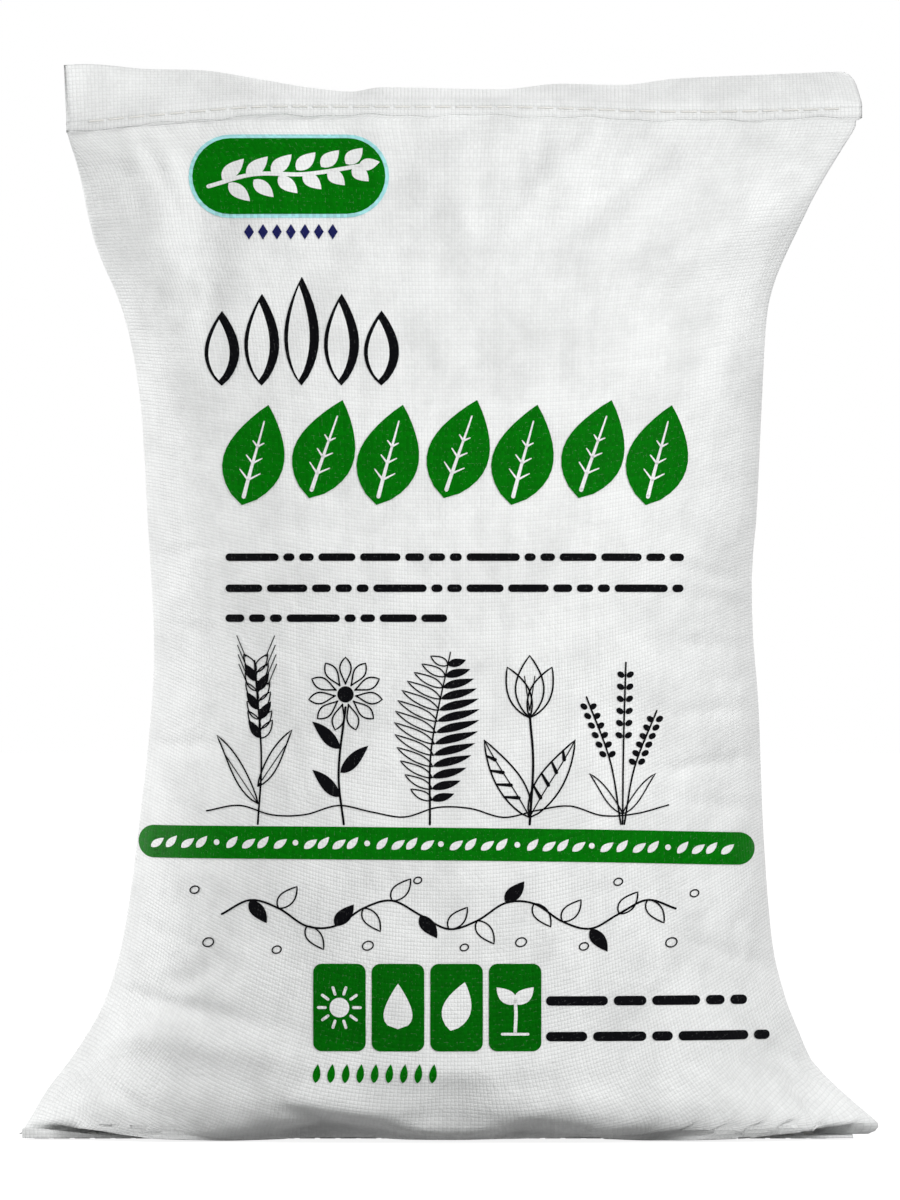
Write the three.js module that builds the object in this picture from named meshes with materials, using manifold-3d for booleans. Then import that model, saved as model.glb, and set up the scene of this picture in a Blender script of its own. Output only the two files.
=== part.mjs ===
// A filled sack of compost in woven plastic cloth, sewn shut at both ends and standing on one of them.
// Millimetres, +Z up. The origin is on the floor, in the middle of the sack, and the front faces -Y.
import * as THREE from "three";
import { mergeVertices } from "three/addons/utils/BufferGeometryUtils.js";
import Module from "manifold-3d";

// The sack's driving sizes
const sackWidth = 508; // flat width of the cloth tube, which the bottom seam holds out straight
const seamHeight = 603; // floor to the stitches that close the top
const bellyDepth = 242; // front to back where the sack is fullest
const footDepth = 180; // front to back of the flat patch that it stands on

// The top hem: both panels, folded over once towards the front
const hemHeight = 34.5; // stitches to the folded edge
const hemUpright = 3; // it stands up straight this far above the stitches before it leans back
const hemThickness = 3;
const hemEdgeThickness = 1.8;
const hemSlant = 5; // its right end leans in by this much towards the middle
const hemFlare = 1.5; // its left end leans out by this much
const hemOverlap = 5; // the folded layers' cut edge hangs this far below the stitches
const hemFoldStep = 1.2; // how far the folded layers stand out in front of the panel
const hemPinch = 0.5; // the thread pulls the hem in by this much on each face
const hemSway = 5; // the seam wanders this far forwards and backwards
const gatherPitch = 33; // small upright gathers of the cloth just below the seam
const gatherDepth = 1.3;
const gatherReach = 50; // how far down they die out

// The bottom hem, turned flat under the sack
const bottomHemWidth = 28;
const bottomHemThickness = 2.8;
const bottomHemBack = 6; // how far behind the middle its folded edge lies
const bottomHemCorner = 5; // radius of its corners
const bottomHemInset = 24; // the right ear wraps over this much of its end
const creaseWidth = 1.6; // the crease on each side of it
const creaseDepth = 1.6;

// The threads: a running stitch through each hem
const threadDiameter = 1.1;
const threadClearance = 0.3;
const stitchPitch = 12;
const stitchShown = 8; // the part of each stitch that lies on the outside
const seamEndMargin = 9; // hem left beyond the first and the last stitch
const bottomThreadLift = 0.5; // the bottom thread stays this far clear of the floor
const cutsFrom = -1; // cuts into the underside start this far below the floor

// Fineness of the mesh
const columns = 40;
const footRows = [0, 0.004, 0.0107, 0.02, 0.034, 0.052, 0.075]; // shares of the height
const bodyRows = 35;
const hemRows = [0.25, 0.6, 0.93]; // shares of the hem's leaning part
const threadSides = 6;

// The outline from the front: [share of the height, share of half the sack's width]
const leftOutline = [
  [0, 1], [0.0185, 0.976], [0.048, 0.935], [0.077, 0.882], [0.135, 0.8], [0.194, 0.759],
  [0.311, 0.72], [0.486, 0.685], [0.608, 0.699], [0.725, 0.715], [0.784, 0.735], [0.814, 0.752],
  [0.843, 0.775], [0.873, 0.807], [0.902, 0.83], [0.932, 0.845], [0.961, 0.858], [1, 0.888],
];
const rightOutline = [
  [0, 0.93], [0.0068, 0.988], [0.0107, 1], [0.0185, 0.99], [0.038, 0.93], [0.077, 0.833],
  [0.107, 0.804], [0.135, 0.776], [0.194, 0.743], [0.311, 0.722], [0.431, 0.711], [0.5, 0.698],
  [0.549, 0.696], [0.608, 0.707], [0.725, 0.72], [0.807, 0.731], [0.843, 0.752], [0.873, 0.784],
  [0.902, 0.817], [0.932, 0.852], [0.961, 0.894], [1, 0.951],
];

// How the depth grows from the foot to the belly, and how it dies out towards the top
const footSpread = [
  [0, 0], [0.004, 0.19], [0.012, 0.355], [0.02, 0.45], [0.034, 0.565], [0.06, 0.68], [0.083, 0.76], [0.17, 0.935],
  [0.26, 1],
];
const headTaper = [
  [0.26, 1], [0.34, 0.99], [0.5, 0.925], [0.663, 0.735], [0.829, 0.446], [0.91, 0.255], [0.96, 0.115], [1, 0],
];

// The section at each height is depth * (1 - across ** bow) ** blunt: lens-shaped at both ends, round between
const sectionBow = [[0, 2.6], [0.06, 2.5], [0.2, 2.5], [0.7, 2.45], [0.9, 2.1], [1, 2]];
const sectionBlunt = [[0, 0.8], [0.05, 0.75], [0.14, 0.6], [0.3, 0.5], [0.72, 0.52], [0.9, 0.75], [1, 0.9]];

// Along the seam, from -1 at the left end to 1 at the right: how far it rises or drops, as a share of
// seamHeight, and how far the hem leans back, in degrees
const seamWander = [[-1, -0.0116], [-0.72, -0.0017], [-0.45, 0.005], [0.1, 0.005], [0.6, 0], [1, 0.0033]];
const hemLean = [
  [-1, 0], [-0.8, 38], [-0.65, 48], [-0.49, 66], [-0.34, 77], [-0.26, 80], [-0.18, 75], [0.12, 77], [0.27, 69],
  [0.41, 68], [0.56, 58], [0.7, 55], [1, 53],
];

// Folds of the filled cloth. z is a share of the height, x, reach, breadth and depth are shares of half
// the width, and tilt is in degrees from the horizontal. A depth below 0 is a crease.
const frontFolds = [
  { x: 0.62, z: 0.9, tilt: 42, reach: 0.31, breadth: 0.067, depth: 0.0157 },
  { x: 0.4, z: 0.84, tilt: 40, reach: 0.33, breadth: 0.063, depth: -0.0157 },
  { x: 0.16, z: 0.86, tilt: 22, reach: 0.24, breadth: 0.063, depth: -0.0098 },
  { x: -0.66, z: 0.88, tilt: -63, reach: 0.24, breadth: 0.055, depth: -0.0157 },
  { x: -0.5, z: 0.8, tilt: -68, reach: 0.31, breadth: 0.067, depth: 0.0118 },
  { x: 0.61, z: 0.555, tilt: -14, reach: 0.1, breadth: 0.047, depth: -0.0098 },
  { x: 0.6, z: 0.39, tilt: -4, reach: 0.15, breadth: 0.047, depth: -0.0118 },
  { x: -0.64, z: 0.392, tilt: 4, reach: 0.12, breadth: 0.047, depth: -0.0098 },
  { x: -0.66, z: 0.135, tilt: -12, reach: 0.2, breadth: 0.047, depth: -0.0157 },
  { x: -0.5, z: 0.09, tilt: -8, reach: 0.28, breadth: 0.055, depth: 0.0098 },
  { x: 0.72, z: 0.078, tilt: -38, reach: 0.18, breadth: 0.047, depth: -0.0157 },
];
const backFolds = [
  { x: 0.6, z: 0.87, tilt: 55, reach: 0.28, breadth: 0.063, depth: -0.0157 },
  { x: -0.58, z: 0.88, tilt: -50, reach: 0.3, breadth: 0.063, depth: -0.0157 },
  { x: -0.1, z: 0.83, tilt: -12, reach: 0.3, breadth: 0.067, depth: -0.0098 },
  { x: 0.6, z: 0.45, tilt: 8, reach: 0.14, breadth: 0.051, depth: -0.0118 },
  { x: -0.62, z: 0.52, tilt: -6, reach: 0.13, breadth: 0.051, depth: -0.0118 },
  { x: 0.64, z: 0.12, tilt: 26, reach: 0.2, breadth: 0.051, depth: -0.0157 },
  { x: -0.68, z: 0.11, tilt: -30, reach: 0.19, breadth: 0.051, depth: -0.0157 },
];

const halfWidth = sackWidth / 2;
const threadRadius = threadDiameter / 2;
const holeHalf = threadRadius + threadClearance;
const bottomHemMiddle = bottomHemBack - bottomHemWidth / 2;
const front = -1;
const back = 1;
const { smoothstep, degToRad } = THREE.MathUtils;

const wasm = await Module();
wasm.setup();

// A smooth curve through [position, value] pairs that never overshoots them
function curveAt(points, position) {
  const last = points.length - 1;
  if (position <= points[0][0]) return points[0][1];
  if (position >= points[last][0]) return points[last][1];
  const i = points.findIndex((point) => point[0] > position) - 1;
  const slope = (k) => (points[k + 1][1] - points[k][1]) / (points[k + 1][0] - points[k][0]);
  const tangent = (k) => {
    if (k === 0 || k === last) return slope(Math.min(k, last - 1));
    const product = slope(k - 1) * slope(k);
    return product <= 0 ? 0 : (2 * product) / (slope(k - 1) + slope(k));
  };
  const span = points[i + 1][0] - points[i][0];
  const rise = points[i + 1][1] - points[i][1];
  const leaving = tangent(i) * span;
  const arriving = tangent(i + 1) * span;
  const t = (position - points[i][0]) / span;
  return points[i][1] + leaving * t + (3 * rise - 2 * leaving - arriving) * t ** 2
    + (leaving + arriving - 2 * rise) * t ** 3;
}

// Half the sack's width on one side, where across runs from -1 at the left edge to 1 at the right
function edgeReach(across, share) {
  return curveAt(across < 0 ? leftOutline : rightOutline, share) * halfWidth;
}

function seamZ(across) {
  return seamHeight * (1 + curveAt(seamWander, across));
}

// The seam's wandering forwards and backwards, which dies out lower on the sack
function sway(across, share) {
  return hemSway * Math.sin(across * 4.2 + 0.6) * (1 - 0.4 * across ** 2) * smoothstep(share, 0.72, 1);
}

// The cloth folds flat at the sack's side edges, so every layer of it comes together there
function edgeRound(across) {
  return Math.min(1, 3 * Math.sqrt(Math.max(0, 1 - across ** 2)));
}

function foldRelief(folds, x, z) {
  return folds.reduce((sum, fold) => {
    const tilt = degToRad(fold.tilt);
    const dx = x - fold.x * halfWidth;
    const dz = z - fold.z * seamHeight;
    const along = (dx * Math.cos(tilt) + dz * Math.sin(tilt)) / (fold.reach * halfWidth);
    const over = (dz * Math.cos(tilt) - dx * Math.sin(tilt)) / (fold.breadth * halfWidth);
    return sum + fold.depth * halfWidth * Math.exp(-(along ** 2) - over ** 2);
  }, 0);
}

function gatherRelief(x, belowSeam) {
  return gatherDepth * Math.sin((2 * Math.PI * x) / gatherPitch) * Math.exp(-belowSeam / gatherReach);
}

// A point of the filled body, whose height is a share of the way from the floor to the hem's cut edge
function bodyPoint(face, across, share) {
  const x = across * edgeReach(across, share);
  const top = seamZ(across) - hemOverlap;
  const z = share * top;
  const bulge = (1 - Math.abs(across) ** curveAt(sectionBow, share)) ** curveAt(sectionBlunt, share);
  const fullDepth = footDepth + (bellyDepth - footDepth) * curveAt(footSpread, share);
  const neck = (hemThickness / 2 - (face === front ? hemFoldStep : 0)) * smoothstep(share, 0.6, 0.95);
  const settled = smoothstep(share, 0.02, 0.08) * (1 - smoothstep(share, 0.93, 1)) * Math.min(1, bulge * 3);
  const relief = foldRelief(face === front ? frontFolds : backFolds, x, z) + gatherRelief(x, top - z);
  const depth = neck * edgeRound(across) + (fullDepth / 2) * curveAt(headTaper, share) * bulge + relief * settled;
  return new THREE.Vector3(x, face * depth + sway(across, share), z);
}

// A point of the top hem's upright part, from its cut edge below the stitches to a little above them
function uprightPoint(face, across, aboveSeam, halfThickness) {
  return new THREE.Vector3(
    across * edgeReach(across, 1),
    sway(across, 1) + face * halfThickness * edgeRound(across),
    seamZ(across) + aboveSeam,
  );
}

// A point of its leaning part: rise runs from 0 where it starts to lean to 1 at the folded edge
function leaningPoint(face, across, rise, halfThickness) {
  const lean = degToRad(curveAt(hemLean, across));
  const length = (hemHeight - hemUpright) * rise;
  const offset = face * halfThickness * edgeRound(across);
  const shift = hemSlant * smoothstep(across, 0.8, 1) + hemFlare * smoothstep(-across, 0.8, 1);
  return new THREE.Vector3(
    across * edgeReach(across, 1) - shift * rise,
    sway(across, 1) + length * Math.sin(lean) + offset * Math.cos(lean),
    seamZ(across) + hemUpright + length * Math.cos(lean) - offset * Math.sin(lean),
  );
}

// The cloth's rows from the floor upwards, each a function of the face and the place across
function clothRows() {
  const lastFootRow = footRows[footRows.length - 1];
  const shares = [...footRows];
  for (let i = 1; i <= bodyRows; i += 1) shares.push(lastFootRow + ((1 - lastFootRow) * i) / bodyRows);
  return [
    ...shares.map((share) => (face, across) => bodyPoint(face, across, share)),
    (face, across) => uprightPoint(face, across, -hemOverlap, hemThickness / 2),
    (face, across) => uprightPoint(face, across, -hemOverlap / 2, hemThickness / 2),
    (face, across) => uprightPoint(face, across, 0, hemThickness / 2 - hemPinch),
    (face, across) => uprightPoint(face, across, hemUpright, hemThickness / 2),
    ...hemRows.map((rise) => (face, across) => leaningPoint(face, across, rise, hemThickness / 2)),
    (face, across) => leaningPoint(face, across, 1, hemEdgeThickness / 2),
  ];
}

// The columns crowd a little towards the side edges, where the section turns
function columnPlace(i) {
  const t = (2 * i) / columns - 1;
  return (t + Math.sin((Math.PI / 2) * t)) / 2;
}

function solidOf(geometry) {
  geometry.deleteAttribute("normal");
  geometry.deleteAttribute("uv");
  const merged = mergeVertices(geometry);
  const mesh = new wasm.Mesh({
    numProp: 3,
    vertProperties: new Float32Array(merged.attributes.position.array),
    triVerts: new Uint32Array(merged.index.array),
  });
  return new wasm.Manifold(mesh);
}

function geometryOf(solid) {
  const mesh = solid.getMesh();
  const geometry = new THREE.BufferGeometry();
  geometry.setAttribute("position", new THREE.BufferAttribute(mesh.vertProperties, 3));
  geometry.setIndex(new THREE.BufferAttribute(mesh.triVerts, 1));
  geometry.computeVertexNormals();
  return geometry;
}

function indexedGeometry(points, triangles) {
  const geometry = new THREE.BufferGeometry().setFromPoints(points);
  geometry.setIndex(triangles);
  return geometry;
}

// The sack without its bottom hem: rings that run along the front to the right and come back behind
function clothGeometry() {
  const rows = clothRows();
  const ringSize = 2 * columns;
  const points = rows.flatMap((row) => Array.from({ length: ringSize }, (_, j) => (
    j <= columns ? row(front, columnPlace(j)) : row(back, columnPlace(ringSize - j))
  )));
  const triangles = [];
  for (let r = 0; r < rows.length - 1; r += 1) {
    for (let j = 0; j < ringSize; j += 1) {
      const a = r * ringSize + j;
      const b = r * ringSize + ((j + 1) % ringSize);
      triangles.push(a, b, b + ringSize, a, b + ringSize, a + ringSize);
    }
  }
  const closeEnd = (start, flip) => {
    for (let j = 0; j < columns; j += 1) {
      const corners = [j, j + 1, ringSize - j - 1, (ringSize - j) % ringSize].map((k) => start + k);
      if (flip) corners.reverse();
      const [a, b, c, d] = corners;
      if (a !== b && b !== c && a !== c) triangles.push(a, b, c);
      if (a !== c && c !== d && a !== d) triangles.push(a, c, d);
    }
  };
  closeEnd(0, true);
  closeEnd((rows.length - 1) * ringSize, false);
  return indexedGeometry(points, triangles);
}

function box(xFrom, xTo, yFrom, yTo, zFrom, zTo) {
  const geometry = new THREE.BoxGeometry(xTo - xFrom, yTo - yFrom, zTo - zFrom);
  geometry.translate((xFrom + xTo) / 2, (yFrom + yTo) / 2, (zFrom + zTo) / 2);
  return solidOf(geometry);
}

function bottomHem() {
  const left = -halfWidth;
  const right = halfWidth - bottomHemInset;
  const nearY = bottomHemBack - bottomHemWidth;
  const r = bottomHemCorner;
  const outline = new THREE.Shape();
  outline.absarc(left + r, nearY + r, r, Math.PI, 1.5 * Math.PI);
  outline.absarc(right - r, nearY + r, r, 1.5 * Math.PI, 2 * Math.PI);
  outline.absarc(right - r, bottomHemBack - r, r, 0, 0.5 * Math.PI);
  outline.absarc(left + r, bottomHemBack - r, r, 0.5 * Math.PI, Math.PI);
  return solidOf(new THREE.ExtrudeGeometry(outline, {
    depth: bottomHemThickness, bevelEnabled: false, curveSegments: 4,
  }));
}

function bottomCreases() {
  const nearY = bottomHemBack - bottomHemWidth;
  return [
    box(-sackWidth, sackWidth, nearY - creaseWidth, nearY, cutsFrom, creaseDepth),
    box(-sackWidth, sackWidth, bottomHemBack, bottomHemBack + creaseWidth, cutsFrom, creaseDepth),
  ];
}

// Where the needle passes: pairs of x places, one pair for each part of the thread that shows
function stitchPlaces(xFrom, xTo) {
  const gap = stitchPitch - stitchShown;
  const count = Math.floor((xTo - xFrom + gap) / stitchPitch);
  const start = (xFrom + xTo - count * stitchPitch + gap) / 2;
  return Array.from({ length: count }, (_, k) => {
    const x = start + k * stitchPitch;
    return [x, x + stitchShown];
  });
}

const topStitches = stitchPlaces(
  -edgeReach(-1, 1) + seamEndMargin,
  edgeReach(1, 1) - seamEndMargin,
);
const bottomStitches = stitchPlaces(
  -halfWidth + seamEndMargin,
  halfWidth - bottomHemInset - seamEndMargin,
);

// The middle of the top hem at the stitches, for an x place along it
function seamPoint(x) {
  const across = x / edgeReach(x, 1);
  return new THREE.Vector3(x, sway(across, 1), seamZ(across));
}

function needleHoles() {
  const through = hemThickness;
  const passes = topStitches.flat().slice(1, -1);
  return passes.map((x) => {
    const { y, z } = seamPoint(x);
    return box(x - holeHalf, x + holeHalf, y - through, y + through, z - holeHalf, z + holeHalf);
  });
}

// The channel that the bottom thread lies in, with a slot where each stitch goes up and comes back
function bottomThreadSpace() {
  const yFrom = bottomHemMiddle - holeHalf;
  const yTo = bottomHemMiddle + holeHalf;
  const xFrom = bottomStitches[0][0] - holeHalf;
  const xTo = bottomStitches[bottomStitches.length - 1][1] + holeHalf;
  const channel = box(xFrom, xTo, yFrom, yTo, cutsFrom, bottomThreadLift + threadRadius + holeHalf);
  const slotTop = bottomHemThickness + threadClearance + threadDiameter + threadClearance;
  const slots = bottomStitches.slice(1).map(([x]) => (
    box(x - stitchPitch + stitchShown - holeHalf, x + holeHalf, yFrom, yTo, 0, slotTop)
  ));
  return [channel, ...slots];
}

function sackGeometry() {
  const cuts = [...bottomCreases(), ...bottomThreadSpace(), ...needleHoles()];
  const filledSack = solidOf(clothGeometry()).add(bottomHem());
  return geometryOf(filledSack.subtract(cuts.reduce((all, cut) => all.add(cut))));
}

// A thread's route: it shows from one needle pass to the next, then dives to the other side of the hem
function threadRoute(stitches, shownPoint, hiddenPoint) {
  return stitches.flatMap(([from, to], k) => {
    const stitch = [shownPoint(from), shownPoint(to)];
    if (k > 0) stitch.unshift(hiddenPoint(from));
    if (k < stitches.length - 1) stitch.push(hiddenPoint(to));
    return stitch;
  });
}

// A round tube along a route of straight runs, mitred where it turns. The route turns about the axis.
function threadGeometry(route, axis) {
  const points = route.flatMap((centre, i) => {
    const before = centre.clone().sub(route[Math.max(0, i - 1)]).normalize();
    const after = route[Math.min(route.length - 1, i + 1)].clone().sub(centre).normalize();
    const heading = before.add(after);
    const ends = i === 0 || i === route.length - 1;
    const mitre = ends ? 1 : 2 / heading.length();
    const sideways = axis.clone().cross(heading.normalize()).normalize();
    return Array.from({ length: threadSides }, (_, j) => {
      const turn = (2 * Math.PI * j) / threadSides;
      return centre.clone()
        .addScaledVector(sideways, threadRadius * mitre * Math.cos(turn))
        .addScaledVector(axis, threadRadius * Math.sin(turn));
    });
  });
  const triangles = [];
  for (let i = 0; i < route.length - 1; i += 1) {
    for (let j = 0; j < threadSides; j += 1) {
      const a = i * threadSides + j;
      const b = i * threadSides + ((j + 1) % threadSides);
      triangles.push(a, b, b + threadSides, a, b + threadSides, a + threadSides);
    }
  }
  const lastRing = (route.length - 1) * threadSides;
  for (let j = 1; j < threadSides - 1; j += 1) {
    triangles.push(0, j + 1, j, lastRing, lastRing + j, lastRing + j + 1);
  }
  const geometry = indexedGeometry(points, triangles);
  geometry.computeVertexNormals();
  return geometry;
}

function topThreadGeometry() {
  const offset = hemThickness / 2 - hemPinch + threadClearance + threadRadius;
  const onFace = (face) => (x) => {
    const point = seamPoint(x);
    point.y += face * offset;
    return point;
  };
  return threadGeometry(threadRoute(topStitches, onFace(front), onFace(back)), new THREE.Vector3(0, 0, 1));
}

function bottomThreadGeometry() {
  const shownZ = bottomThreadLift + threadRadius;
  const hiddenZ = bottomHemThickness + threadClearance + threadRadius;
  const at = (z) => (x) => new THREE.Vector3(x, bottomHemMiddle, z);
  return threadGeometry(threadRoute(bottomStitches, at(shownZ), at(hiddenZ)), new THREE.Vector3(0, 1, 0));
}

function named(name, geometry, material) {
  const mesh = new THREE.Mesh(geometry, material);
  mesh.name = name;
  return mesh;
}

const wovenPlastic = new THREE.MeshStandardMaterial({ color: 0xf1f2f0, roughness: 0.5, metalness: 0 });
const topThreadYarn = new THREE.MeshStandardMaterial({ color: 0xf6f4ec, roughness: 0.85, metalness: 0 });
const bottomThreadYarn = new THREE.MeshStandardMaterial({ color: 0xf0eee6, roughness: 0.85, metalness: 0 });

const compostSack = new THREE.Group();
compostSack.add(
  named("sack", sackGeometry(), wovenPlastic),
  named("top_seam_thread", topThreadGeometry(), topThreadYarn),
  named("bottom_seam_thread", bottomThreadGeometry(), bottomThreadYarn),
);

export default compostSack;
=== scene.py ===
"""A filled compost sack of white woven plastic cloth, with green and black print on its front."""
import math

import bmesh
import bpy
import numpy as np
from bpy.props import FloatProperty, FloatVectorProperty, IntProperty, PointerProperty
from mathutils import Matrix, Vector, noise
from mathutils.bvhtree import BVHTree
from mathutils.geometry import barycentric_transform, tessellate_polygon


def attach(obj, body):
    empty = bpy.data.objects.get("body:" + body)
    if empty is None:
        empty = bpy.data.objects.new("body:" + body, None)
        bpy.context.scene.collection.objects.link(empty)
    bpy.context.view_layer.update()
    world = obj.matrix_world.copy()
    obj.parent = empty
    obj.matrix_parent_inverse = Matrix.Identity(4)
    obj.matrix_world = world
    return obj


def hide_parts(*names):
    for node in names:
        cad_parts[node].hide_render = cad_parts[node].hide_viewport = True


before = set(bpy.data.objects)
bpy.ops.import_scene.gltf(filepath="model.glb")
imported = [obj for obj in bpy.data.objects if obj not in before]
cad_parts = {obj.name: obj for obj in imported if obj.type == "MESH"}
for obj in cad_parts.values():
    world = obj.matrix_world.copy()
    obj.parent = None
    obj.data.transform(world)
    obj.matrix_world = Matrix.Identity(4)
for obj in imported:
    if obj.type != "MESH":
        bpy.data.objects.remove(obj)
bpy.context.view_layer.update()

bl_info = {
    "name": "Compost Sack",
    "version": (1, 0, 0),
    "blender": (4, 5, 0),
    "location": "View3D > Sidebar > Sack",
    "description": "A sewn sack of woven plastic cloth, its print, its threads and a studio",
    "category": "Add Mesh",
}

CAD_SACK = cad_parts["sack"]
FRONT = -1
BACK = 1

# The top seam, from -1 at its left end to 1 at its right: its height above or below the seam height,
# in metres, and how far the hem above it leans back, in degrees
SEAM_WANDER = [(-1, -0.007), (-0.72, -0.001), (-0.45, 0.003), (0.1, 0.003), (0.6, 0.0), (1, 0.002)]
HEM_LEAN = [
    (-1, 0), (-0.8, 38), (-0.65, 48), (-0.49, 66), (-0.34, 77), (-0.26, 80), (-0.18, 75),
    (0.12, 77), (0.27, 69), (0.41, 68), (0.56, 58), (0.7, 55), (1, 53),
]

# The section at each height is depth * (1 - across ** bow) ** blunt, by share of the seam's height, and
# so is the flat patch on the floor, with a bow and a bluntness of its own
SECTION_BOW = [(0, 2.6), (0.06, 2.5), (0.2, 2.5), (0.7, 2.45), (0.9, 2.1), (1, 2)]
SECTION_BLUNT = [(0, 0.8), (0.05, 0.75), (0.14, 0.6), (0.3, 0.5), (0.72, 0.52), (0.9, 0.75), (1, 0.9)]
FOOT_BOW, FOOT_BLUNT = 2.2, 1.15

# How far the first guess of the filled cloth stays above the floor, in metres
CLEARANCE = 0.003

# How the cloth behaves while the compost fills it, in Blender's own units
FILLING_CLOTH = {
    "quality": 8, "mass": 0.15, "air_damping": 1,
    "tension_stiffness": 600, "compression_stiffness": 60, "shear_stiffness": 10, "bending_stiffness": 0.3,
    "tension_damping": 5, "compression_damping": 5, "shear_damping": 5,
    "use_pressure": True, "use_pressure_volume": True, "uniform_pressure_force": 0,
    "pressure_factor": 40, "fluid_density": 0.5,
}
FILLING_GRAVITY = 0.15
FILLING_FRAMES = 50

# The floor it settles on: how far the cloth stays off it, in metres, and Blender's friction for it
FLOOR_GAP, FLOOR_FRICTION = 0.002, 10
LITRES_IN_CUBIC_METRE = 1000

# Small folds that the filling presses into the cloth: x and z of the middle, tilt in degrees from the
# horizontal, half length, half breadth and depth. A depth below 0 is a crease. Metres.
FRONT_FOLDS = [
    (0.094, 0.554, 41, 0.052, 0.011, -0.0057),
    (0.06, 0.566, 48, 0.04, 0.009, 0.0033),
    (0.172, 0.57, 31, 0.034, 0.009, -0.0051),
    (0.165, 0.532, 31, 0.058, 0.013, 0.0066),
    (0.118, 0.492, 36, 0.06, 0.014, -0.0039),
    (0.062, 0.505, 8, 0.04, 0.013, -0.0039),
    (0.02, 0.528, 74, 0.034, 0.009, -0.0018),
    (-0.176, 0.576, -64, 0.026, 0.0045, -0.002),
    (-0.163, 0.57, -66, 0.024, 0.0045, 0.0014),
    (-0.186, 0.556, -70, 0.034, 0.006, -0.0016),
    (-0.143, 0.512, -83, 0.062, 0.013, -0.0051),
    (-0.172, 0.492, -80, 0.06, 0.012, 0.0033),
    (0.158, 0.33, -14, 0.026, 0.0042, -0.0026),
    (0.16, 0.316, -8, 0.024, 0.0042, -0.0024),
    (0.156, 0.29, -4, 0.034, 0.0042, -0.0026),
    (0.168, 0.272, 8, 0.018, 0.0042, -0.0018),
    (0.16, 0.252, 4, 0.03, 0.0042, -0.0026),
    (0.158, 0.222, 8, 0.038, 0.0042, -0.003),
    (0.163, 0.196, -6, 0.028, 0.0042, -0.0022),
    (0.168, 0.176, 10, 0.024, 0.0042, -0.0024),
    (0.172, 0.106, -20, 0.032, 0.0045, -0.0026),
    (0.188, 0.052, -38, 0.046, 0.0065, -0.0038),
    (0.205, 0.03, -24, 0.03, 0.005, -0.002),
    (-0.164, 0.343, 10, 0.022, 0.0042, -0.0024),
    (-0.16, 0.3, -6, 0.022, 0.0042, -0.0014),
    (-0.166, 0.231, 2, 0.03, 0.0042, -0.0026),
    (-0.166, 0.268, -10, 0.02, 0.0042, -0.0016),
    (-0.17, 0.082, -12, 0.05, 0.005, -0.0042),
    (-0.15, 0.058, -8, 0.064, 0.01, 0.0042),
    (-0.205, 0.034, -30, 0.036, 0.005, -0.0026),
    (-0.176, 0.125, -18, 0.028, 0.0045, -0.0016),
    (0.02, 0.03, 3, 0.07, 0.008, -0.0016),
]
BACK_FOLDS = [
    (0.152, 0.525, 55, 0.072, 0.012, -0.0053),
    (-0.147, 0.531, -50, 0.076, 0.012, -0.0053),
    (-0.025, 0.5, -12, 0.076, 0.013, -0.003),
    (0.156, 0.3, 8, 0.03, 0.0042, -0.0024),
    (0.16, 0.262, -6, 0.026, 0.0042, -0.002),
    (0.158, 0.205, 4, 0.032, 0.0042, -0.0024),
    (-0.16, 0.314, -6, 0.03, 0.0042, -0.0024),
    (-0.162, 0.24, 6, 0.028, 0.0042, -0.0022),
    (-0.166, 0.18, -8, 0.03, 0.0042, -0.0022),
    (0.163, 0.072, 26, 0.044, 0.006, -0.0034),
    (-0.173, 0.066, -30, 0.044, 0.006, -0.0034),
]


def measure(name, description, default):
    """A length in metres."""
    return FloatProperty(name=name, description=description, default=default, subtype="DISTANCE")


def cell_count(name, description, default):
    return IntProperty(name=name, description=description, default=default)


def ink_colour(name, description, default):
    return FloatVectorProperty(
        name=name, description=description, default=default, subtype="COLOR", size=3,
    )


class SackSizes(bpy.types.PropertyGroup):
    """The sizes of the sack's cloth and hems"""

    cloth_width: measure("Cloth width", "Flat width of the cloth tube", 0.508)
    cloth_length: measure("Cloth length", "Cloth between the bottom seam and the top seam", 0.712)
    seam_height: measure("Seam height", "Floor to the stitches of the top seam", 0.603)
    foot_depth: measure("Foot depth", "Front to back of the flat patch that the sack stands on", 0.18)
    filling: FloatProperty(name="Filling", description="Volume that fills the cloth, in litres", default=38.0)
    hem_height: measure("Hem height", "Stitches to the folded edge of the top hem", 0.0345)
    hem_upright: measure("Upright part of the hem", "Hem above the stitches that doesn't lean", 0.003)
    hem_thickness: measure("Hem thickness", "Thickness of the folded cloth", 0.003)
    hem_overlap: measure("Hem overlap", "Cut edge of the folded layer below the stitches", 0.005)
    hem_fold_step: measure("Hem fold step", "How far the folded layer stands out in front", 0.0012)
    hem_pinch: measure("Hem pinch", "How deep the thread pulls into each face of the hem", 0.0005)
    hem_sway: measure("Hem sway", "How far the seam wanders forwards and backwards", 0.005)
    hem_slant: measure("Hem slant", "How far the hem's right end leans towards the middle", 0.005)
    hem_flare: measure("Hem flare", "How far the hem's left end leans outwards", 0.0015)
    hem_corner: measure("Hem corner", "How far the hem's right top corner is rounded off", 0.005)
    hem_strip: FloatVectorProperty(
        name="Bottom hem", description="Near edge, far edge and thickness of the hem under the sack",
        default=(-0.022, 0.006, 0.0028), subtype="XYZ", size=3,
    )
    tape_width: measure("Tape width", "Width of one woven tape", 0.0024)
    columns: cell_count("Columns", "Cloth cells across one face while it is filled", 52)
    rows: cell_count("Rows", "Cloth cells up one face while it is filled", 70)
    skin_columns: cell_count("Skin columns", "Cells across one face of the finished cloth", 176)
    skin_rows: cell_count("Skin rows", "Cells up one face of the finished cloth", 232)


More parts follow.
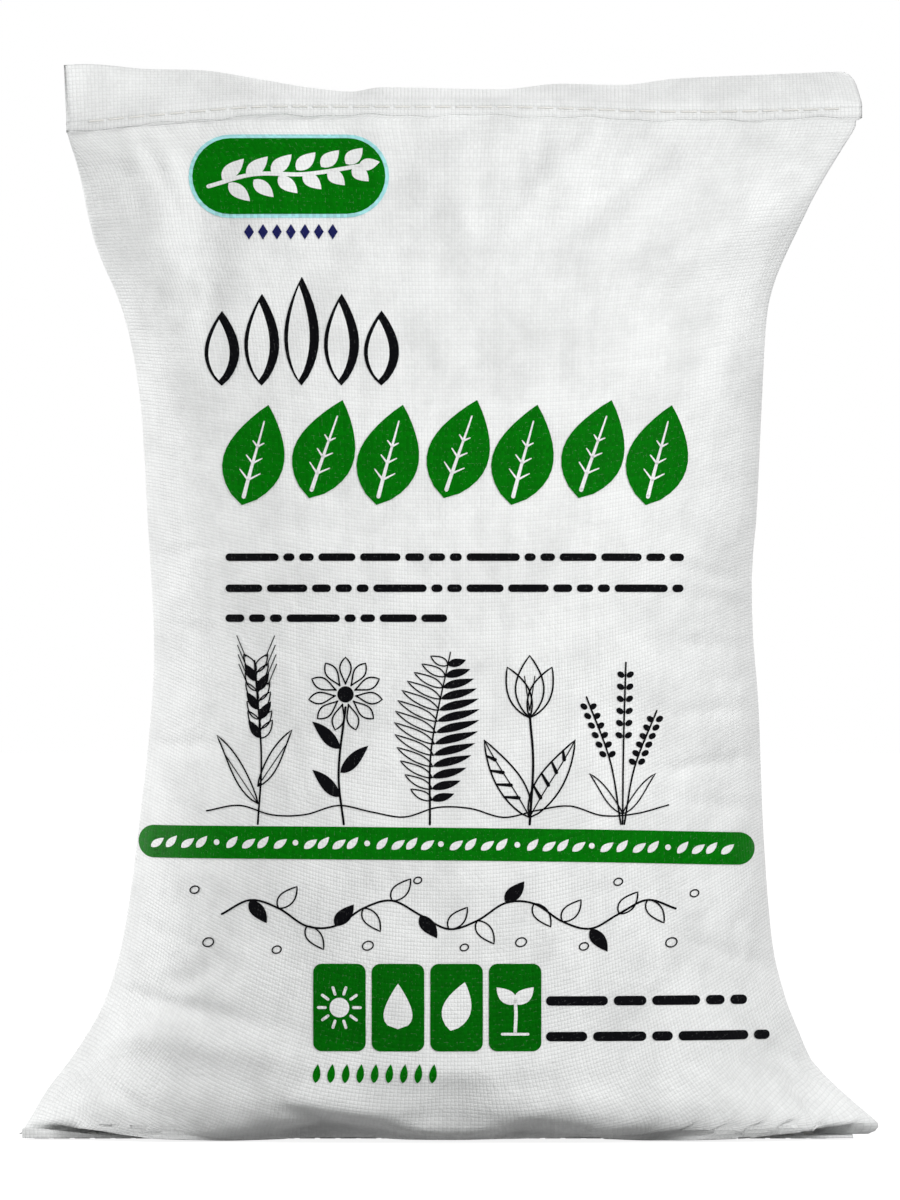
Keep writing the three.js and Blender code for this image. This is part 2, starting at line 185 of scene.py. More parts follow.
class SackColours(bpy.types.PropertyGroup):
    """The colours of the cloth and of the printing inks"""

    cloth: ink_colour("Cloth", "White woven polypropylene", (0.86, 0.87, 0.865))
    leaf_green: ink_colour("Green ink", "Ink of the badge, the leaves and the band", (0.0, 0.147, 0.001))
    deep_green: ink_colour("Dark green ink", "Ink of the four tiles", (0.0, 0.113, 0.001))
    black: ink_colour("Black ink", "Ink of the drawing and the dashes", (0.002, 0.002, 0.003))
    navy: ink_colour("Navy ink", "Ink of the small row under the badge", (0.012, 0.014, 0.09))
    pale_blue: ink_colour("Pale blue ink", "Ink of the badge's rim", (0.36, 0.72, 0.74))


def sizes():
    return bpy.context.scene.sack_sizes


def colours():
    return bpy.context.scene.sack_colours


def smooth_curve(points, position):
    """A smooth curve through points that never overshoots them, for a number or an array of them."""
    x = np.array([p[0] for p in points], float)
    y = np.array([p[1] for p in points], float)
    slope = np.diff(y) / np.diff(x)
    product = slope[:-1] * slope[1:]
    total = np.where(product > 0, slope[:-1] + slope[1:], 1)
    inner = np.where(product > 0, 2 * product / total, 0)
    tangent = np.concatenate([slope[:1], inner, slope[-1:]])
    at = np.clip(np.asarray(position, float), x[0], x[-1])
    i = np.clip(np.searchsorted(x, at, side="right") - 1, 0, len(x) - 2)
    span = x[i + 1] - x[i]
    t = (at - x[i]) / span
    rise = y[i + 1] - y[i]
    leaving, arriving = tangent[i] * span, tangent[i + 1] * span
    square, cube = 3 * rise - 2 * leaving - arriving, leaving + arriving - 2 * rise
    return y[i] + leaving * t + square * t**2 + cube * t**3


def soft_step(a, b, c, d, t):
    """The place a share t of the way from b to c, on a soft curve through a, b, c and d."""
    return 0.5 * (2 * b + (c - a) * t + (2 * a - 5 * b + 4 * c - d) * t**2 + (3 * b - a - 3 * c + d) * t**3)


def soft_window(reach):
    """Weights for a soft average of a value with its neighbours, as many as reach on either side."""
    window = np.hanning(2 * reach + 3)[1:-1]
    return window / window.sum()


def smoothstep(value, low, high):
    t = np.clip((value - low) / (high - low), 0, 1)
    return t * t * (3 - 2 * t)


def mesh_arrays(mesh):
    points = np.zeros(len(mesh.vertices) * 3)
    mesh.vertices.foreach_get("co", points)
    edges = np.zeros(len(mesh.edges) * 2, int)
    mesh.edges.foreach_get("vertices", edges)
    return points.reshape(-1, 3), edges.reshape(-1, 2)


def level_extents(points, edges, heights):
    """Lowest and highest x and y where a mesh crosses each height: left, right, near and far."""
    found = np.full((len(heights), 4), np.nan)
    start, end = points[edges[:, 0]], points[edges[:, 1]]
    for row, height in enumerate(heights):
        crossing = (start[:, 2] - height) * (end[:, 2] - height) < 0
        a, b = start[crossing], end[crossing]
        place = a + (b - a) * ((height - a[:, 2]) / (b[:, 2] - a[:, 2]))[:, None]
        if len(place):
            found[row] = place[:, 0].min(), place[:, 0].max(), place[:, 1].min(), place[:, 1].max()
    met = ~np.isnan(found[:, 0])
    return np.array([np.interp(heights, heights[met], column[met]) for column in found.T])


def seam_height_at(across):
    return sizes().seam_height + smooth_curve(SEAM_WANDER, across)


def seam_sway(across):
    return sizes().hem_sway * np.sin(across * 4.2 + 0.6) * (1 - 0.4 * across**2)


def edge_round(across):
    """How full the hem is across the sack, from 0 at the side edges, where its layers meet, to 1."""
    return np.minimum(1, 3 * np.sqrt(np.clip(1 - across**2, 0, 1)))


class SackShape:
    """Half widths and depths of the sack by height, read from its solid. Metres."""

    # The heights where the solid is measured: close together near the floor, and evenly up to the hem
    FOOT_LEVELS = (0.0005, 0.002, 0.004, 0.0065, 0.01, 0.015)
    BODY_START = 0.022
    BODY_LEVELS = 70
    # How far from the stitches of the top seam its ends are measured, and where the bottom hem ends
    SEAM_MARGIN = 0.004
    BOTTOM_HEM_TOP = 0.0032

    def __init__(self):
        points, edges = mesh_arrays(CAD_SACK.data)
        s = sizes()
        self.top = s.seam_height - s.hem_overlap - self.SEAM_MARGIN
        body_levels = np.linspace(self.BODY_START, self.top, self.BODY_LEVELS)
        self.heights = np.concatenate([self.FOOT_LEVELS, body_levels])
        self.left, self.right, self.near, self.far = level_extents(points, edges, self.heights)
        beside_seam = np.array([s.seam_height - self.SEAM_MARGIN, s.seam_height + self.SEAM_MARGIN])
        below, above = level_extents(points, edges, beside_seam).T
        self.hem_left, self.hem_right = below[0], above[1]
        # The bottom hem reaches past the ears' tips near the floor, so the outline there starts above it
        first = int(np.argmax(self.heights > self.BOTTOM_HEM_TOP))
        self.near[:first] = self.near[first]
        self.far[:first] = self.far[first]

    def at(self, values, height):
        return np.interp(height, self.heights, values)


def section_bulge(across, share):
    """How much of the sack's depth at this share of its height is left at a place across it."""
    bow, blunt = smooth_curve(SECTION_BOW, share), smooth_curve(SECTION_BLUNT, share)
    return (1 - np.clip(np.abs(across), 0, 1) ** bow) ** blunt


def filled_guess(shape, across, up, side):
    """A first guess of where a point of the flat cloth goes when the sack is filled."""
    s = sizes()
    foot = s.foot_depth / 2 * max(0, 1 - abs(across) ** FOOT_BOW) ** FOOT_BLUNT
    flat = up * s.cloth_length
    top = seam_height_at(across) - s.hem_overlap
    if flat <= foot:
        x = across * s.cloth_width / 2
        return x, side * flat, CLEARANCE
    rise = (flat - foot) / (s.cloth_length - foot)
    z = float(rise * top)
    reach = shape.at(shape.left, z) * -across if across < 0 else shape.at(shape.right, z) * across
    depth = shape.at(shape.near, z) if side == FRONT else shape.at(shape.far, z)
    fade = smoothstep(rise, 1.0, 0.93)
    y = depth * section_bulge(across, rise) * fade + (1 - fade) * seam_sway(across)
    return float(reach), float(y), z + CLEARANCE


def cloth_cells(columns, rows):
    """The cloth's two faces as cells that share the vertices of all four seams and edges."""
    index = {}
    for side in (FRONT, BACK):
        for j in range(rows + 1):
            for i in range(columns + 1):
                shared = i in (0, columns) or j in (0, rows)
                index.setdefault((i, j, 0 if shared else side), len(index))

    def vertex(i, j, side):
        return index[(i, j, 0 if i in (0, columns) or j in (0, rows) else side)]

    faces = []
    for side in (FRONT, BACK):
        for j in range(rows):
            for i in range(columns):
                ring = [vertex(i + right, j + up, side) for right, up in ((0, 0), (1, 0), (1, 1), (0, 1))]
                faces.append(ring if side == FRONT else ring[::-1])
    return index, vertex, faces


def fill_with_compost(cloth, pinned):
    """Lets the cloth settle on the floor round its filling, and returns where its points came to rest."""
    sewn = cloth.vertex_groups.new(name="sewn_seams")
    sewn.add(pinned, 1.0, "REPLACE")
    modifier = cloth.modifiers.new("Cloth", "CLOTH")
    settings = modifier.settings
    for name, value in FILLING_CLOTH.items():
        setattr(settings, name, value)
    settings.vertex_group_mass = sewn.name
    settings.rest_shape_key = cloth.data.shape_keys.key_blocks["flat"]
    settings.target_volume = sizes().filling / LITRES_IN_CUBIC_METRE
    settings.effector_weights.gravity = FILLING_GRAVITY
    modifier.collision_settings.use_self_collision = False
    modifier.collision_settings.use_collision = True
    modifier.collision_settings.distance_min = FLOOR_GAP
    bpy.ops.mesh.primitive_plane_add(size=3, location=(0, 0, 0))
    floor = bpy.context.object
    floor.modifiers.new("Collision", "COLLISION")
    floor.collision.thickness_outer = FLOOR_GAP
    floor.collision.cloth_friction = FLOOR_FRICTION
    modifier.point_cache.frame_end = FILLING_FRAMES
    scene = bpy.context.scene
    for frame_number in range(1, FILLING_FRAMES + 1):
        scene.frame_set(frame_number)
    settled = cloth.evaluated_get(bpy.context.evaluated_depsgraph_get()).data
    points = np.zeros(len(settled.vertices) * 3)
    settled.vertices.foreach_get("co", points)
    for used in (floor, cloth):
        bpy.data.objects.remove(used)
    scene.frame_set(1)
    return points.reshape(-1, 3)


def filled_cloth(shape):
    """The filled cloth as rings that run along the front to the right and come back behind."""
    s = sizes()
    columns, rows = s.columns, s.rows
    cloth_thickness = 0.0005
    index, vertex, faces = cloth_cells(columns, rows)
    start, flat, pinned = [None] * len(index), [None] * len(index), []
    for (i, j, side), number in index.items():
        across = 2 * i / columns - 1
        x, y, z = filled_guess(shape, across, j / rows, side or FRONT)
        if side == 0 and j in (0, rows):
            y = 0.0 if j == 0 else float(seam_sway(across))
        start[number] = (x, y, z)
        flat[number] = (across * s.cloth_width / 2, side * cloth_thickness, j / rows * s.cloth_length)
        if j in (0, rows):
            pinned.append(number)
    points = np.array(start)
    mesh = bpy.data.meshes.new("filling_cloth")
    mesh.from_pydata(start, [], faces)
    cloth = bpy.data.objects.new("filling_cloth", mesh)
    bpy.context.scene.collection.objects.link(cloth)
    cloth.shape_key_add(name="Basis")
    flat_key = cloth.shape_key_add(name="flat")
    flat_key.data.foreach_set("co", np.array(flat).ravel())
    points = fill_with_compost(cloth, pinned)
    points[:, 2] -= points[:, 2].min()
    return np.array([
        [points[vertex(i, j, FRONT)] for i in range(columns + 1)]
        + [points[vertex(i, j, BACK)] for i in range(columns - 1, 0, -1)]
        for j in range(rows + 1)
    ])


def finer(values, count, closed):
    """Smoothly resamples an array along its first axis."""
    size = len(values)
    place = np.arange(count) * (size / count if closed else (size - 1) / (count - 1))
    low = np.floor(place).astype(int) if closed else np.minimum(place.astype(int), size - 2)
    t = (place - low).reshape(-1, *[1] * (values.ndim - 1))
    if closed:
        a, b, c, d = (values[(low + k) % size] for k in (-1, 0, 1, 2))
    else:
        ends = np.concatenate([[2 * values[0] - values[1]], values, [2 * values[-1] - values[-2]]])
        a, b, c, d = (ends[low + k] for k in (0, 1, 2, 3))
    return soft_step(a, b, c, d, t)


def ring_edges(rows, ring):
    number = np.arange(rows * ring).reshape(rows, ring)
    across = np.stack([number, np.roll(number, -1, axis=1)], axis=-1).reshape(-1, 2)
    up = np.stack([number[:-1], number[1:]], axis=-1).reshape(-1, 2)
    return np.concatenate([across, up])


def two_faces(rings):
    """The front and the back of the rings, each from the left edge to the right one."""
    half = rings.shape[1] // 2
    return rings[:, :half + 1].copy(), rings[:, -np.arange(half + 1)].copy()


def joined(front, back):
    return np.concatenate([front, back[:, -2:0:-1]], axis=1)


def soften_foot(rings, reach, top):
    """Takes small puckers out of the cloth near the floor, up to the height top."""
    window = soft_window(reach)
    strength, full_below = 0.9, top * 0.35
    weight = strength * smoothstep(rings[..., 2], top, full_below)
    for axis in (1, 2):
        values = rings[..., axis]
        padded = np.concatenate([values[:, -reach:], values, values[:, :reach]], axis=1)
        soft = np.array([np.convolve(row, window, mode="valid") for row in padded])
        rings[..., axis] += (soft - values) * weight


def splay_corners(face, side, shape):
    """Spreads the cloth of the two bottom corners on the floor as far as the solid's corners reach."""
    lowest, lying_height, thinnest, least, most = 0.003, 0.009, 0.002, 0.5, 3
    x, outward, z = face[..., 0], side * face[..., 1], face[..., 2]
    across = x / np.where(x < 0, -shape.at(shape.left, z), shape.at(shape.right, z))
    depth = np.abs(shape.at(shape.near if side == FRONT else shape.far, np.maximum(z, lowest)))
    wanted = depth * section_bulge(across, z / shape.top)
    columns = np.arange(face.shape[1])
    edge_row = (z > lying_height).argmax(axis=0)
    on_floor = np.arange(len(face))[:, None] < edge_row
    edge = np.maximum(outward[edge_row, columns], thinnest)
    spread = outward * np.clip(wanted[edge_row, columns] / edge, least, most)
    weight = smoothstep(np.abs(across), 0.3, 0.62) * smoothstep(z, 0.09, 0.045)
    face[..., 1] += side * (np.where(on_floor, spread, wanted) - outward) * weight


def fit_to_solid(rings, shape):
    """Stretches the filled cloth so that its outline by height is the solid's, and keeps its folds."""
    found = level_extents(rings.reshape(-1, 3), ring_edges(*rings.shape[:2]), shape.heights)
    x, y, z = rings[..., 0], rings[..., 1], rings[..., 2]
    reach, thinnest, least, most = 3, 0.004, 0.8, 1.3

    def ratio(wanted, got):
        share = np.clip(wanted / np.where(np.abs(got) < thinnest, np.sign(got) * thinnest, got), least, most)
        padded = np.concatenate([[share[0]] * reach, share, [share[-1]] * reach])
        return np.interp(z, shape.heights, np.convolve(padded, soft_window(reach), mode="valid"))

    left, right, near, far = found
    fitted = np.where(x < 0, x * ratio(shape.left, left), x * ratio(shape.right, right))
    fade = smoothstep(z, shape.top, shape.top - 0.03)
    depth = np.where(y < 0, ratio(shape.near, near), ratio(shape.far, far))
    rings[..., 0] = np.clip(fitted, shape.at(shape.left, z), shape.at(shape.right, z))
    rings[..., 1] = y * (1 + (depth - 1) * fade)


def crumple_relief(x, z, side):
    """Soft dents and fine wrinkles of handled cloth, in metres."""
    relief = np.zeros(x.size)
    for k, (px, pz) in enumerate(zip(x.ravel(), z.ravel())):
        broad = noise.noise(Vector((px * 15, pz * 11, side * 7.3)))
        bent = 0.6 * broad
        slanted = noise.noise(Vector(((px + pz) * 17 + bent, (pz - px) * 42 + bent, side * 3.1)))
        small = noise.noise(Vector((px * 75, pz * 60 + bent, side * 5.7)))
        relief[k] = 0.0016 * broad + 0.0007 * (0.35 - abs(slanted)) + 0.00022 * small
    return relief.reshape(x.shape)


def fold_offset(face, folds, side):
    """How far the folds move each point of one face forwards or backwards."""
    x, z = face[..., 0], face[..., 2]
    relief = np.zeros_like(x)
    for fold_x, fold_z, tilt, reach, breadth, depth in folds:
        turn = math.radians(tilt)
        along = ((x - fold_x) * math.cos(turn) + (z - fold_z) * math.sin(turn)) / reach
        over = ((z - fold_z) * math.cos(turn) - (x - fold_x) * math.sin(turn)) / breadth
        relief += depth * np.exp(-(along**2) - over**2)
    # Gathers under the top seam, small and larger ones, and faint ones above the floor
    below_seam = sizes().seam_height - z
    gathers = np.sin(x * 210 + 1.7 * np.sin(x * 41)) * 0.0014 * np.exp(-below_seam / 0.03)
    gathers += np.sin(x * 97 + 1.2 * np.sin(x * 23 + below_seam * 30)) * 0.0016 * np.exp(-below_seam / 0.06)
    foot_gathers = np.sin(x * 230 + 2 * np.sin(x * 29)) * 0.0003 * np.exp(-((z - 0.03) ** 2) / 0.02**2)
    relief += gathers + foot_gathers + crumple_relief(x, z, side)
    off_floor, off_seam = smoothstep(z, 0.004, 0.02), smoothstep(z, 0.597, 0.58)
    return side * relief * (off_floor * off_seam)


def press_folds(front, back):
    """Folds both faces; where the sack is thin, they lie on each other and move as one."""
    near_offset = fold_offset(front, FRONT_FOLDS, FRONT)
    far_offset = fold_offset(back, BACK_FOLDS, BACK)
    together = smoothstep(back[..., 1] - front[..., 1], 0.045, 0.008)
    front[..., 1] += near_offset + far_offset * together
    back[..., 1] += far_offset + near_offset * together


def hem_rows(across, reach):
    """The top hem's rows, from the panel's edge under the folded layer up to the folded edge."""
    s = sizes()
    x = across * reach
    sway, seam, rounding = seam_sway(across), seam_height_at(across), edge_round(across)
    half = s.hem_thickness / 2
    lean = np.radians(smooth_curve(HEM_LEAN, across))
    ripple = 0.0007 * np.sin(across * 31 + 2 * np.sin(across * 7))

    def upright(side, above, offset):
        return np.stack([x, sway + side * offset * rounding, seam + above], axis=-1)

    def leaning(side, rise, offset, bend):
        length = (s.hem_height - s.hem_upright) * rise
        out = side * offset * rounding
        inwards = s.hem_slant * smoothstep(across, 0.8, 1)
        inwards += s.hem_corner * rise**6 * smoothstep(across, 0.93, 1)
        outwards = s.hem_flare * smoothstep(across, -0.8, -1)
        return np.stack([
            x - inwards * rise - outwards * rise,
            sway + length * np.sin(lean) + out * np.cos(lean * bend) + ripple * rise,
            seam + s.hem_upright + length * np.cos(lean) - out * np.sin(lean * bend),
        ], axis=-1)

    rows = []
    cut_edge = 0.0006 * np.sin(across * 23) + 0.0004 * np.sin(across * 57 + 1) - s.hem_overlap
    tucked = half - s.hem_fold_step
    for above, near_offset, far_offset in (
        (cut_edge - 0.0006, tucked, half), (cut_edge - 0.0001, tucked, half),
        (cut_edge + 0.0001, half, half), (cut_edge + 0.0006, half, half),
        (-s.hem_overlap / 2, half, half), (-0.0009, half, half),
        (0.0, half - s.hem_pinch, half - s.hem_pinch),
        (0.0009, half, half), (s.hem_upright * 0.7, half, half),
    ):
        faces = [upright(FRONT, above, near_offset), upright(BACK, above, far_offset)]
        rows.append((float(np.mean(above)), faces))
    for rise, offset, bend in (
        (0.06, half, 0.6), *((rise, half, 1) for rise in (0.16, 0.34, 0.54, 0.74, 0.9)),
        (0.97, half * 0.85, 1), (1.0, half * 0.45, 1),
    ):
        above = s.hem_upright + (s.hem_height - s.hem_upright) * rise
        rows.append((above, [leaning(side, rise, offset, bend) for side in (FRONT, BACK)]))
    return rows


def sack_mesh(shape):
    """The whole sack's cloth as one closed skin, with the flat cloth's metres as its UV map."""
    s = sizes()
    columns, rows = s.skin_columns, s.skin_rows
    ring = 2 * columns
    rings = finer(filled_cloth(shape), rows + 1, closed=False)
    rings = finer(rings.swapaxes(0, 1), ring, closed=True).swapaxes(0, 1).copy()
    soften_foot(rings, reach=8, top=0.1)
    fit_to_solid(rings, shape)
    front, back = two_faces(rings)
    splay_corners(front, FRONT, shape)
    splay_corners(back, BACK, shape)
    rings = joined(front, back)
    soften_foot(rings, reach=3, top=0.04)
    front, back = two_faces(rings)
    press_folds(front, back)
    rings = joined(front, back)
    near, far, thick = s.hem_strip
    beside = np.abs(rings[..., 1] - (near + far) / 2) - (far - near) / 2
    off_floor, sunk = 0.0004, 0.0002
    floor_level = off_floor + (thick - sunk) * smoothstep(beside, 0.002, 0.0)
    rings[..., 2] = np.maximum(rings[..., 2], floor_level)

    across = np.linspace(-1, 1, columns + 1)
    reach = np.where(across < 0, -shape.hem_left, shape.hem_right)
    cloth_rows = [(j / rows * s.cloth_length, rings[j]) for j in range(rows)]
    for above, (front_row, back_row) in hem_rows(across, reach):
        row = joined(front_row[None], back_row[None])[0]
        cloth_rows.append((s.cloth_length + s.hem_overlap + above, row))

    coordinates = np.concatenate([row for _, row in cloth_rows])
    mesh_faces, cloth_places = [], []
    for r in range(len(cloth_rows) - 1):
        v0, v1 = cloth_rows[r][0], cloth_rows[r + 1][0]
        for k in range(ring):
            a, b = r * ring + k, r * ring + (k + 1) % ring
            mesh_faces.append((a, b, b + ring, a + ring))
            u0, u1 = k / columns * s.cloth_width, (k + 1) / columns * s.cloth_width
            cloth_places.append([(u0, v0), (u1, v0), (u1, v1), (u0, v1)])
    last, v = (len(cloth_rows) - 1) * ring, cloth_rows[-1][0]
    for k in range(columns):
        corners = [last + k, last + k + 1, last + (ring - k - 1) % ring, last + (ring - k) % ring]
        corners = list(dict.fromkeys(corners))
        u, step = k / columns * s.cloth_width, s.cloth_width / columns
        mesh_faces.append(corners)
        cloth_places.append([(u, v), (u + step, v), (u + step, v + 0.001), (u, v + 0.001)][: len(corners)])

    mesh = bpy.data.meshes.new("woven_sack")
    mesh.from_pydata(coordinates.tolist(), [], mesh_faces)
    layer = mesh.uv_layers.new(name="cloth")
    layer.data.foreach_set("uv", np.array([place for face in cloth_places for place in face]).ravel())
    cleaner = bmesh.new()
    cleaner.from_mesh(mesh)
    bmesh.ops.remove_doubles(cleaner, verts=cleaner.verts, dist=1e-6)
    bmesh.ops.recalc_face_normals(cleaner, faces=cleaner.faces)
    cleaner.to_mesh(mesh)
    cleaner.free()
    return mesh


def oval(x, z, across, up, turn=0.0, steps=26):
    cos, sin = math.cos(math.radians(turn)), math.sin(math.radians(turn))
    outline = []
    for k in range(steps):
        a, b = across / 2 * math.cos(math.tau * k / steps), up / 2 * math.sin(math.tau * k / steps)
        outline.append((x + a * cos - b * sin, z + a * sin + b * cos))
    return outline


def rounded(x, z, width, height, radius, steps=8):
    """A rectangle with round corners, about its middle."""
    outline = []
    for corner, (sx, sz) in enumerate(((1, 1), (-1, 1), (-1, -1), (1, -1))):
        for k in range(steps + 1):
            angle = math.radians(90 * corner + 90 * k / steps)
            outline.append((
                x + sx * (width / 2 - radius) + radius * math.cos(angle),
                z + sz * (height / 2 - radius) + radius * math.sin(angle),
            ))
    return outline


def pill(x, z, width, height):
    return rounded(x, z, width, height, height / 2 - 1e-5)


def leaf_sides(x, z, length, breadth, turn, bend=0.0, fullest=0.42, steps=12):
    """Both edges and the midrib of a pointed leaf that grows from (x, z) at an angle from upright."""
    cos, sin = math.cos(math.radians(turn)), math.sin(math.radians(turn))
    edges = ([], [], [])
    for k in range(steps + 1):
        t = k / steps
        warped = t ** (math.log(0.5) / math.log(fullest))
        half = breadth / 2 * math.sin(math.pi * warped) ** 0.9 if 0 < t < 1 else 0
        middle = bend * length * math.sin(math.pi * t / 2) ** 2
        for edge, off in zip(edges, (-half, half, 0)):
            a, b = middle + off, t * length
            edge.append((x + a * cos - b * sin, z + a * sin + b * cos))
    return edges


def leaf(x, z, length, breadth, turn, bend=0.0, fullest=0.42):
    left, right, _ = leaf_sides(x, z, length, breadth, turn, bend, fullest)
    return left + right[-2:0:-1]


def smooth_line(points, step=0.0025):
    """Points a step apart along a soft curve through the given ones."""
    path = np.array(points, float)
    ends = np.vstack([2 * path[0] - path[1], path, 2 * path[-1] - path[-2]])
    line = []
    for k in range(1, len(ends) - 2):
        a, b, c, d = ends[k - 1:k + 3]
        count = max(2, int(np.linalg.norm(c - b) / step))
        line.extend(soft_step(a, b, c, d, t) for t in np.arange(count) / count)
    line.append(path[-1])
    return np.array(line)


class Ink:
    """Flat shapes, in metres as seen from the front, that one ink prints on the cloth."""

    def __init__(self, lift):
        self.lift = lift
        self.points = []
        self.faces = []

    def shape(self, outline):
        start = len(self.points)
        self.points.extend((px, 0.0, pz) for px, pz in outline)
        for triangle in tessellate_polygon([[Vector((px, pz, 0)) for px, pz in outline]]):
            self.faces.append(tuple(start + k for k in triangle))

    def line(self, points, width, end_width=None, soft=True):
        """A line of the pen, which may grow thinner towards its end."""
        path = smooth_line(points) if soft else np.array(points, float)
        widths = np.linspace(width, width if end_width is None else end_width, len(path))
        along = np.gradient(path, axis=0)
        along /= np.linalg.norm(along, axis=1)[:, None] + 1e-12
        aside = np.stack([-along[:, 1], along[:, 0]], axis=1) * widths[:, None] / 2
        start = len(self.points)
        for near, far in zip(path - aside, path + aside):
            self.points.extend(((near[0], 0.0, near[1]), (far[0], 0.0, far[1])))
        for k in range(len(path) - 1):
            a = start + 2 * k
            self.faces.append((a, a + 2, a + 3, a + 1))
        smallest_dot, steps_a_metre = 0.0004, 2500
        for (px, pz), size in ((path[0], widths[0]), (path[-1], widths[-1])):
            if size > smallest_dot:
                self.shape(oval(px, pz, size, size, steps=max(8, int(size * steps_a_metre))))

    def ring(self, outline, width):
        self.line(list(outline) + [outline[0]], width, soft=False)


def print_on_cloth(name, ink, cloth, material, cell):
    """Lays an ink's flat shapes on the front of the cloth, cell by cell, with the cloth's own UV map."""
    flat = bmesh.new()
    corners = [flat.verts.new(point) for point in ink.points]
    for face in ink.faces:
        if len(set(face)) > 2:
            flat.faces.new([corners[k] for k in face])
    for axis in (0, 2):
        values = [point[axis] for point in ink.points]
        for k in range(math.ceil(min(values) / cell), math.floor(max(values) / cell) + 1):
            place, normal = [0.0, 0.0, 0.0], [0.0, 0.0, 0.0]
            place[axis], normal[axis] = k * cell, 1.0
            bmesh.ops.bisect_plane(
                flat, geom=flat.verts[:] + flat.edges[:] + flat.faces[:],
                plane_co=place, plane_no=normal, dist=1e-6,
            )
    bmesh.ops.remove_doubles(flat, verts=flat.verts, dist=1e-6)
    tree, triangles, points, places = cloth
    flat.verts.index_update()
    found = []
    for vertex in flat.verts:
        x, z = vertex.co.x, vertex.co.z
        hit = None
        while hit is None:
            hit, normal, number, _ = tree.ray_cast(Vector((x, -1, z)), Vector((0, 1, 0)))
            x *= 0.997
        a, b, c = (points[k] for k in triangles[number][0])
        found.append(barycentric_transform(hit, a, b, c, *(places[k] for k in triangles[number][1])))
        vertex.co = hit + normal * ink.lift
    layer = flat.loops.layers.uv.new("cloth")
    for face in flat.faces:
        for loop in face.loops:
            loop[layer].uv = found[loop.vert.index].xy
    bmesh.ops.recalc_face_normals(flat, faces=flat.faces)
    for face in flat.faces:
        face.smooth = True
        if face.normal.y > 0:
            face.normal_flip()
    mesh = bpy.data.meshes.new(name)
    flat.to_mesh(mesh)
    flat.free()
    return new_piece(name, mesh, material)


def cloth_surface(sack):
    """The front's triangles, ready for shapes to be laid on them."""
    mesh = sack.data
    mesh.calc_loop_triangles()
    layer = mesh.uv_layers["cloth"].data
    points = [vertex.co.copy() for vertex in mesh.vertices]
    triangles = [(tuple(t.vertices), tuple(t.loops)) for t in mesh.loop_triangles if t.normal.y < 0.35]
    places = {k: Vector((*layer[k].uv, 0)) for _, loops in triangles for k in loops}
    return BVHTree.FromPolygons(points, [t[0] for t in triangles]), triangles, points, places


def badge(rim, green, bare):
    """A leafy twig on a pill with a pale rim."""
    x, z, width, height, rim_width = -0.0948, 0.5647, 0.1174, 0.0493, 0.0022
    rim.shape(pill(x, z, width, height))
    green.shape(pill(x, z, width - 2 * rim_width, height - 2 * rim_width))
    twig = [(-0.047, -0.006), (-0.02, 0.001), (0.01, 0.001), (0.043, 0.006)]
    bare.line([(x + along, z + up) for along, up in twig], 0.0024)
    for k in range(6):
        px = x - 0.039 + 0.0145 * k
        pz = z - 0.004 + 0.0018 * k
        bare.shape(leaf(px, pz + 0.002, 0.0175 - 0.0008 * k, 0.0085, -42, 0.08))
        bare.shape(leaf(px + 0.004, pz, 0.0165 - 0.0008 * k, 0.008, -136, -0.08))
    bare.shape(leaf(x + 0.041, z + 0.0055, 0.0125, 0.007, -78))


def lozenge_row(navy):
    """Seven small lozenges under the badge."""
    for k in range(7):
        navy.shape(oval(-0.1179 + 0.00817 * k, 0.5318, 0.0058, 0.0092, steps=4))


def blade_row(black, bare):
    """Five upright blades, each an outline with a heavy edge on its right."""
    for k, length in enumerate((0.044, 0.054, 0.064, 0.054, 0.044)):
        x = -0.1335 + 0.0233 * k
        black.shape(leaf(x, 0.4414, length, 0.0205, 0, 0.0, 0.45))
        bare.shape(leaf(x - 0.0016, 0.4446, length - 0.0085, 0.0126, 0, 0.0, 0.45))
        black.line([(x - 0.0002, 0.4425), (x - 0.0008, 0.4414 + length * 0.62)], 0.0011, 0.0005)


def leaf_frieze(green, bare):
    """Seven bold leaves, each split along its midrib."""
    for k in range(7):
        foot_x, foot_z = -0.1215 + 0.0392 * k, 0.3716 + (0.004 if k % 2 else 0)
        turn = -17 if k % 2 else -13
        green.shape(leaf(foot_x, foot_z, 0.0605, 0.0355, turn, 0.03, 0.43))
        _, _, rib = leaf_sides(foot_x, foot_z, 0.0605, 0.0355, turn, 0.03)
        bare.line(rib[1:-2], 0.0024, 0.0009, soft=False)
        for vein in (3, 5, 7):
            ax, az = rib[vein]
            reach = 0.0105 - 0.0009 * vein
            for side in (-1, 1):
                lean = math.radians(turn + 90 - side * 50)
                tip = (ax + reach * math.cos(lean), az + reach * math.sin(lean))
                bare.line([(ax, az), tip], 0.0013, 0.0007, soft=False)


def dash_row(ink, start, end, z, height, lengths):
    """A row of round-ended dashes, whose lengths repeat until the row is full."""
    x, k = start, 0
    while x < end - height:
        length = min(lengths[k % len(lengths)], end - x)
        ink.shape(pill(x + length / 2, z, max(length, height + 0.0002), height))
        x += length + height * 0.62
        k += 1


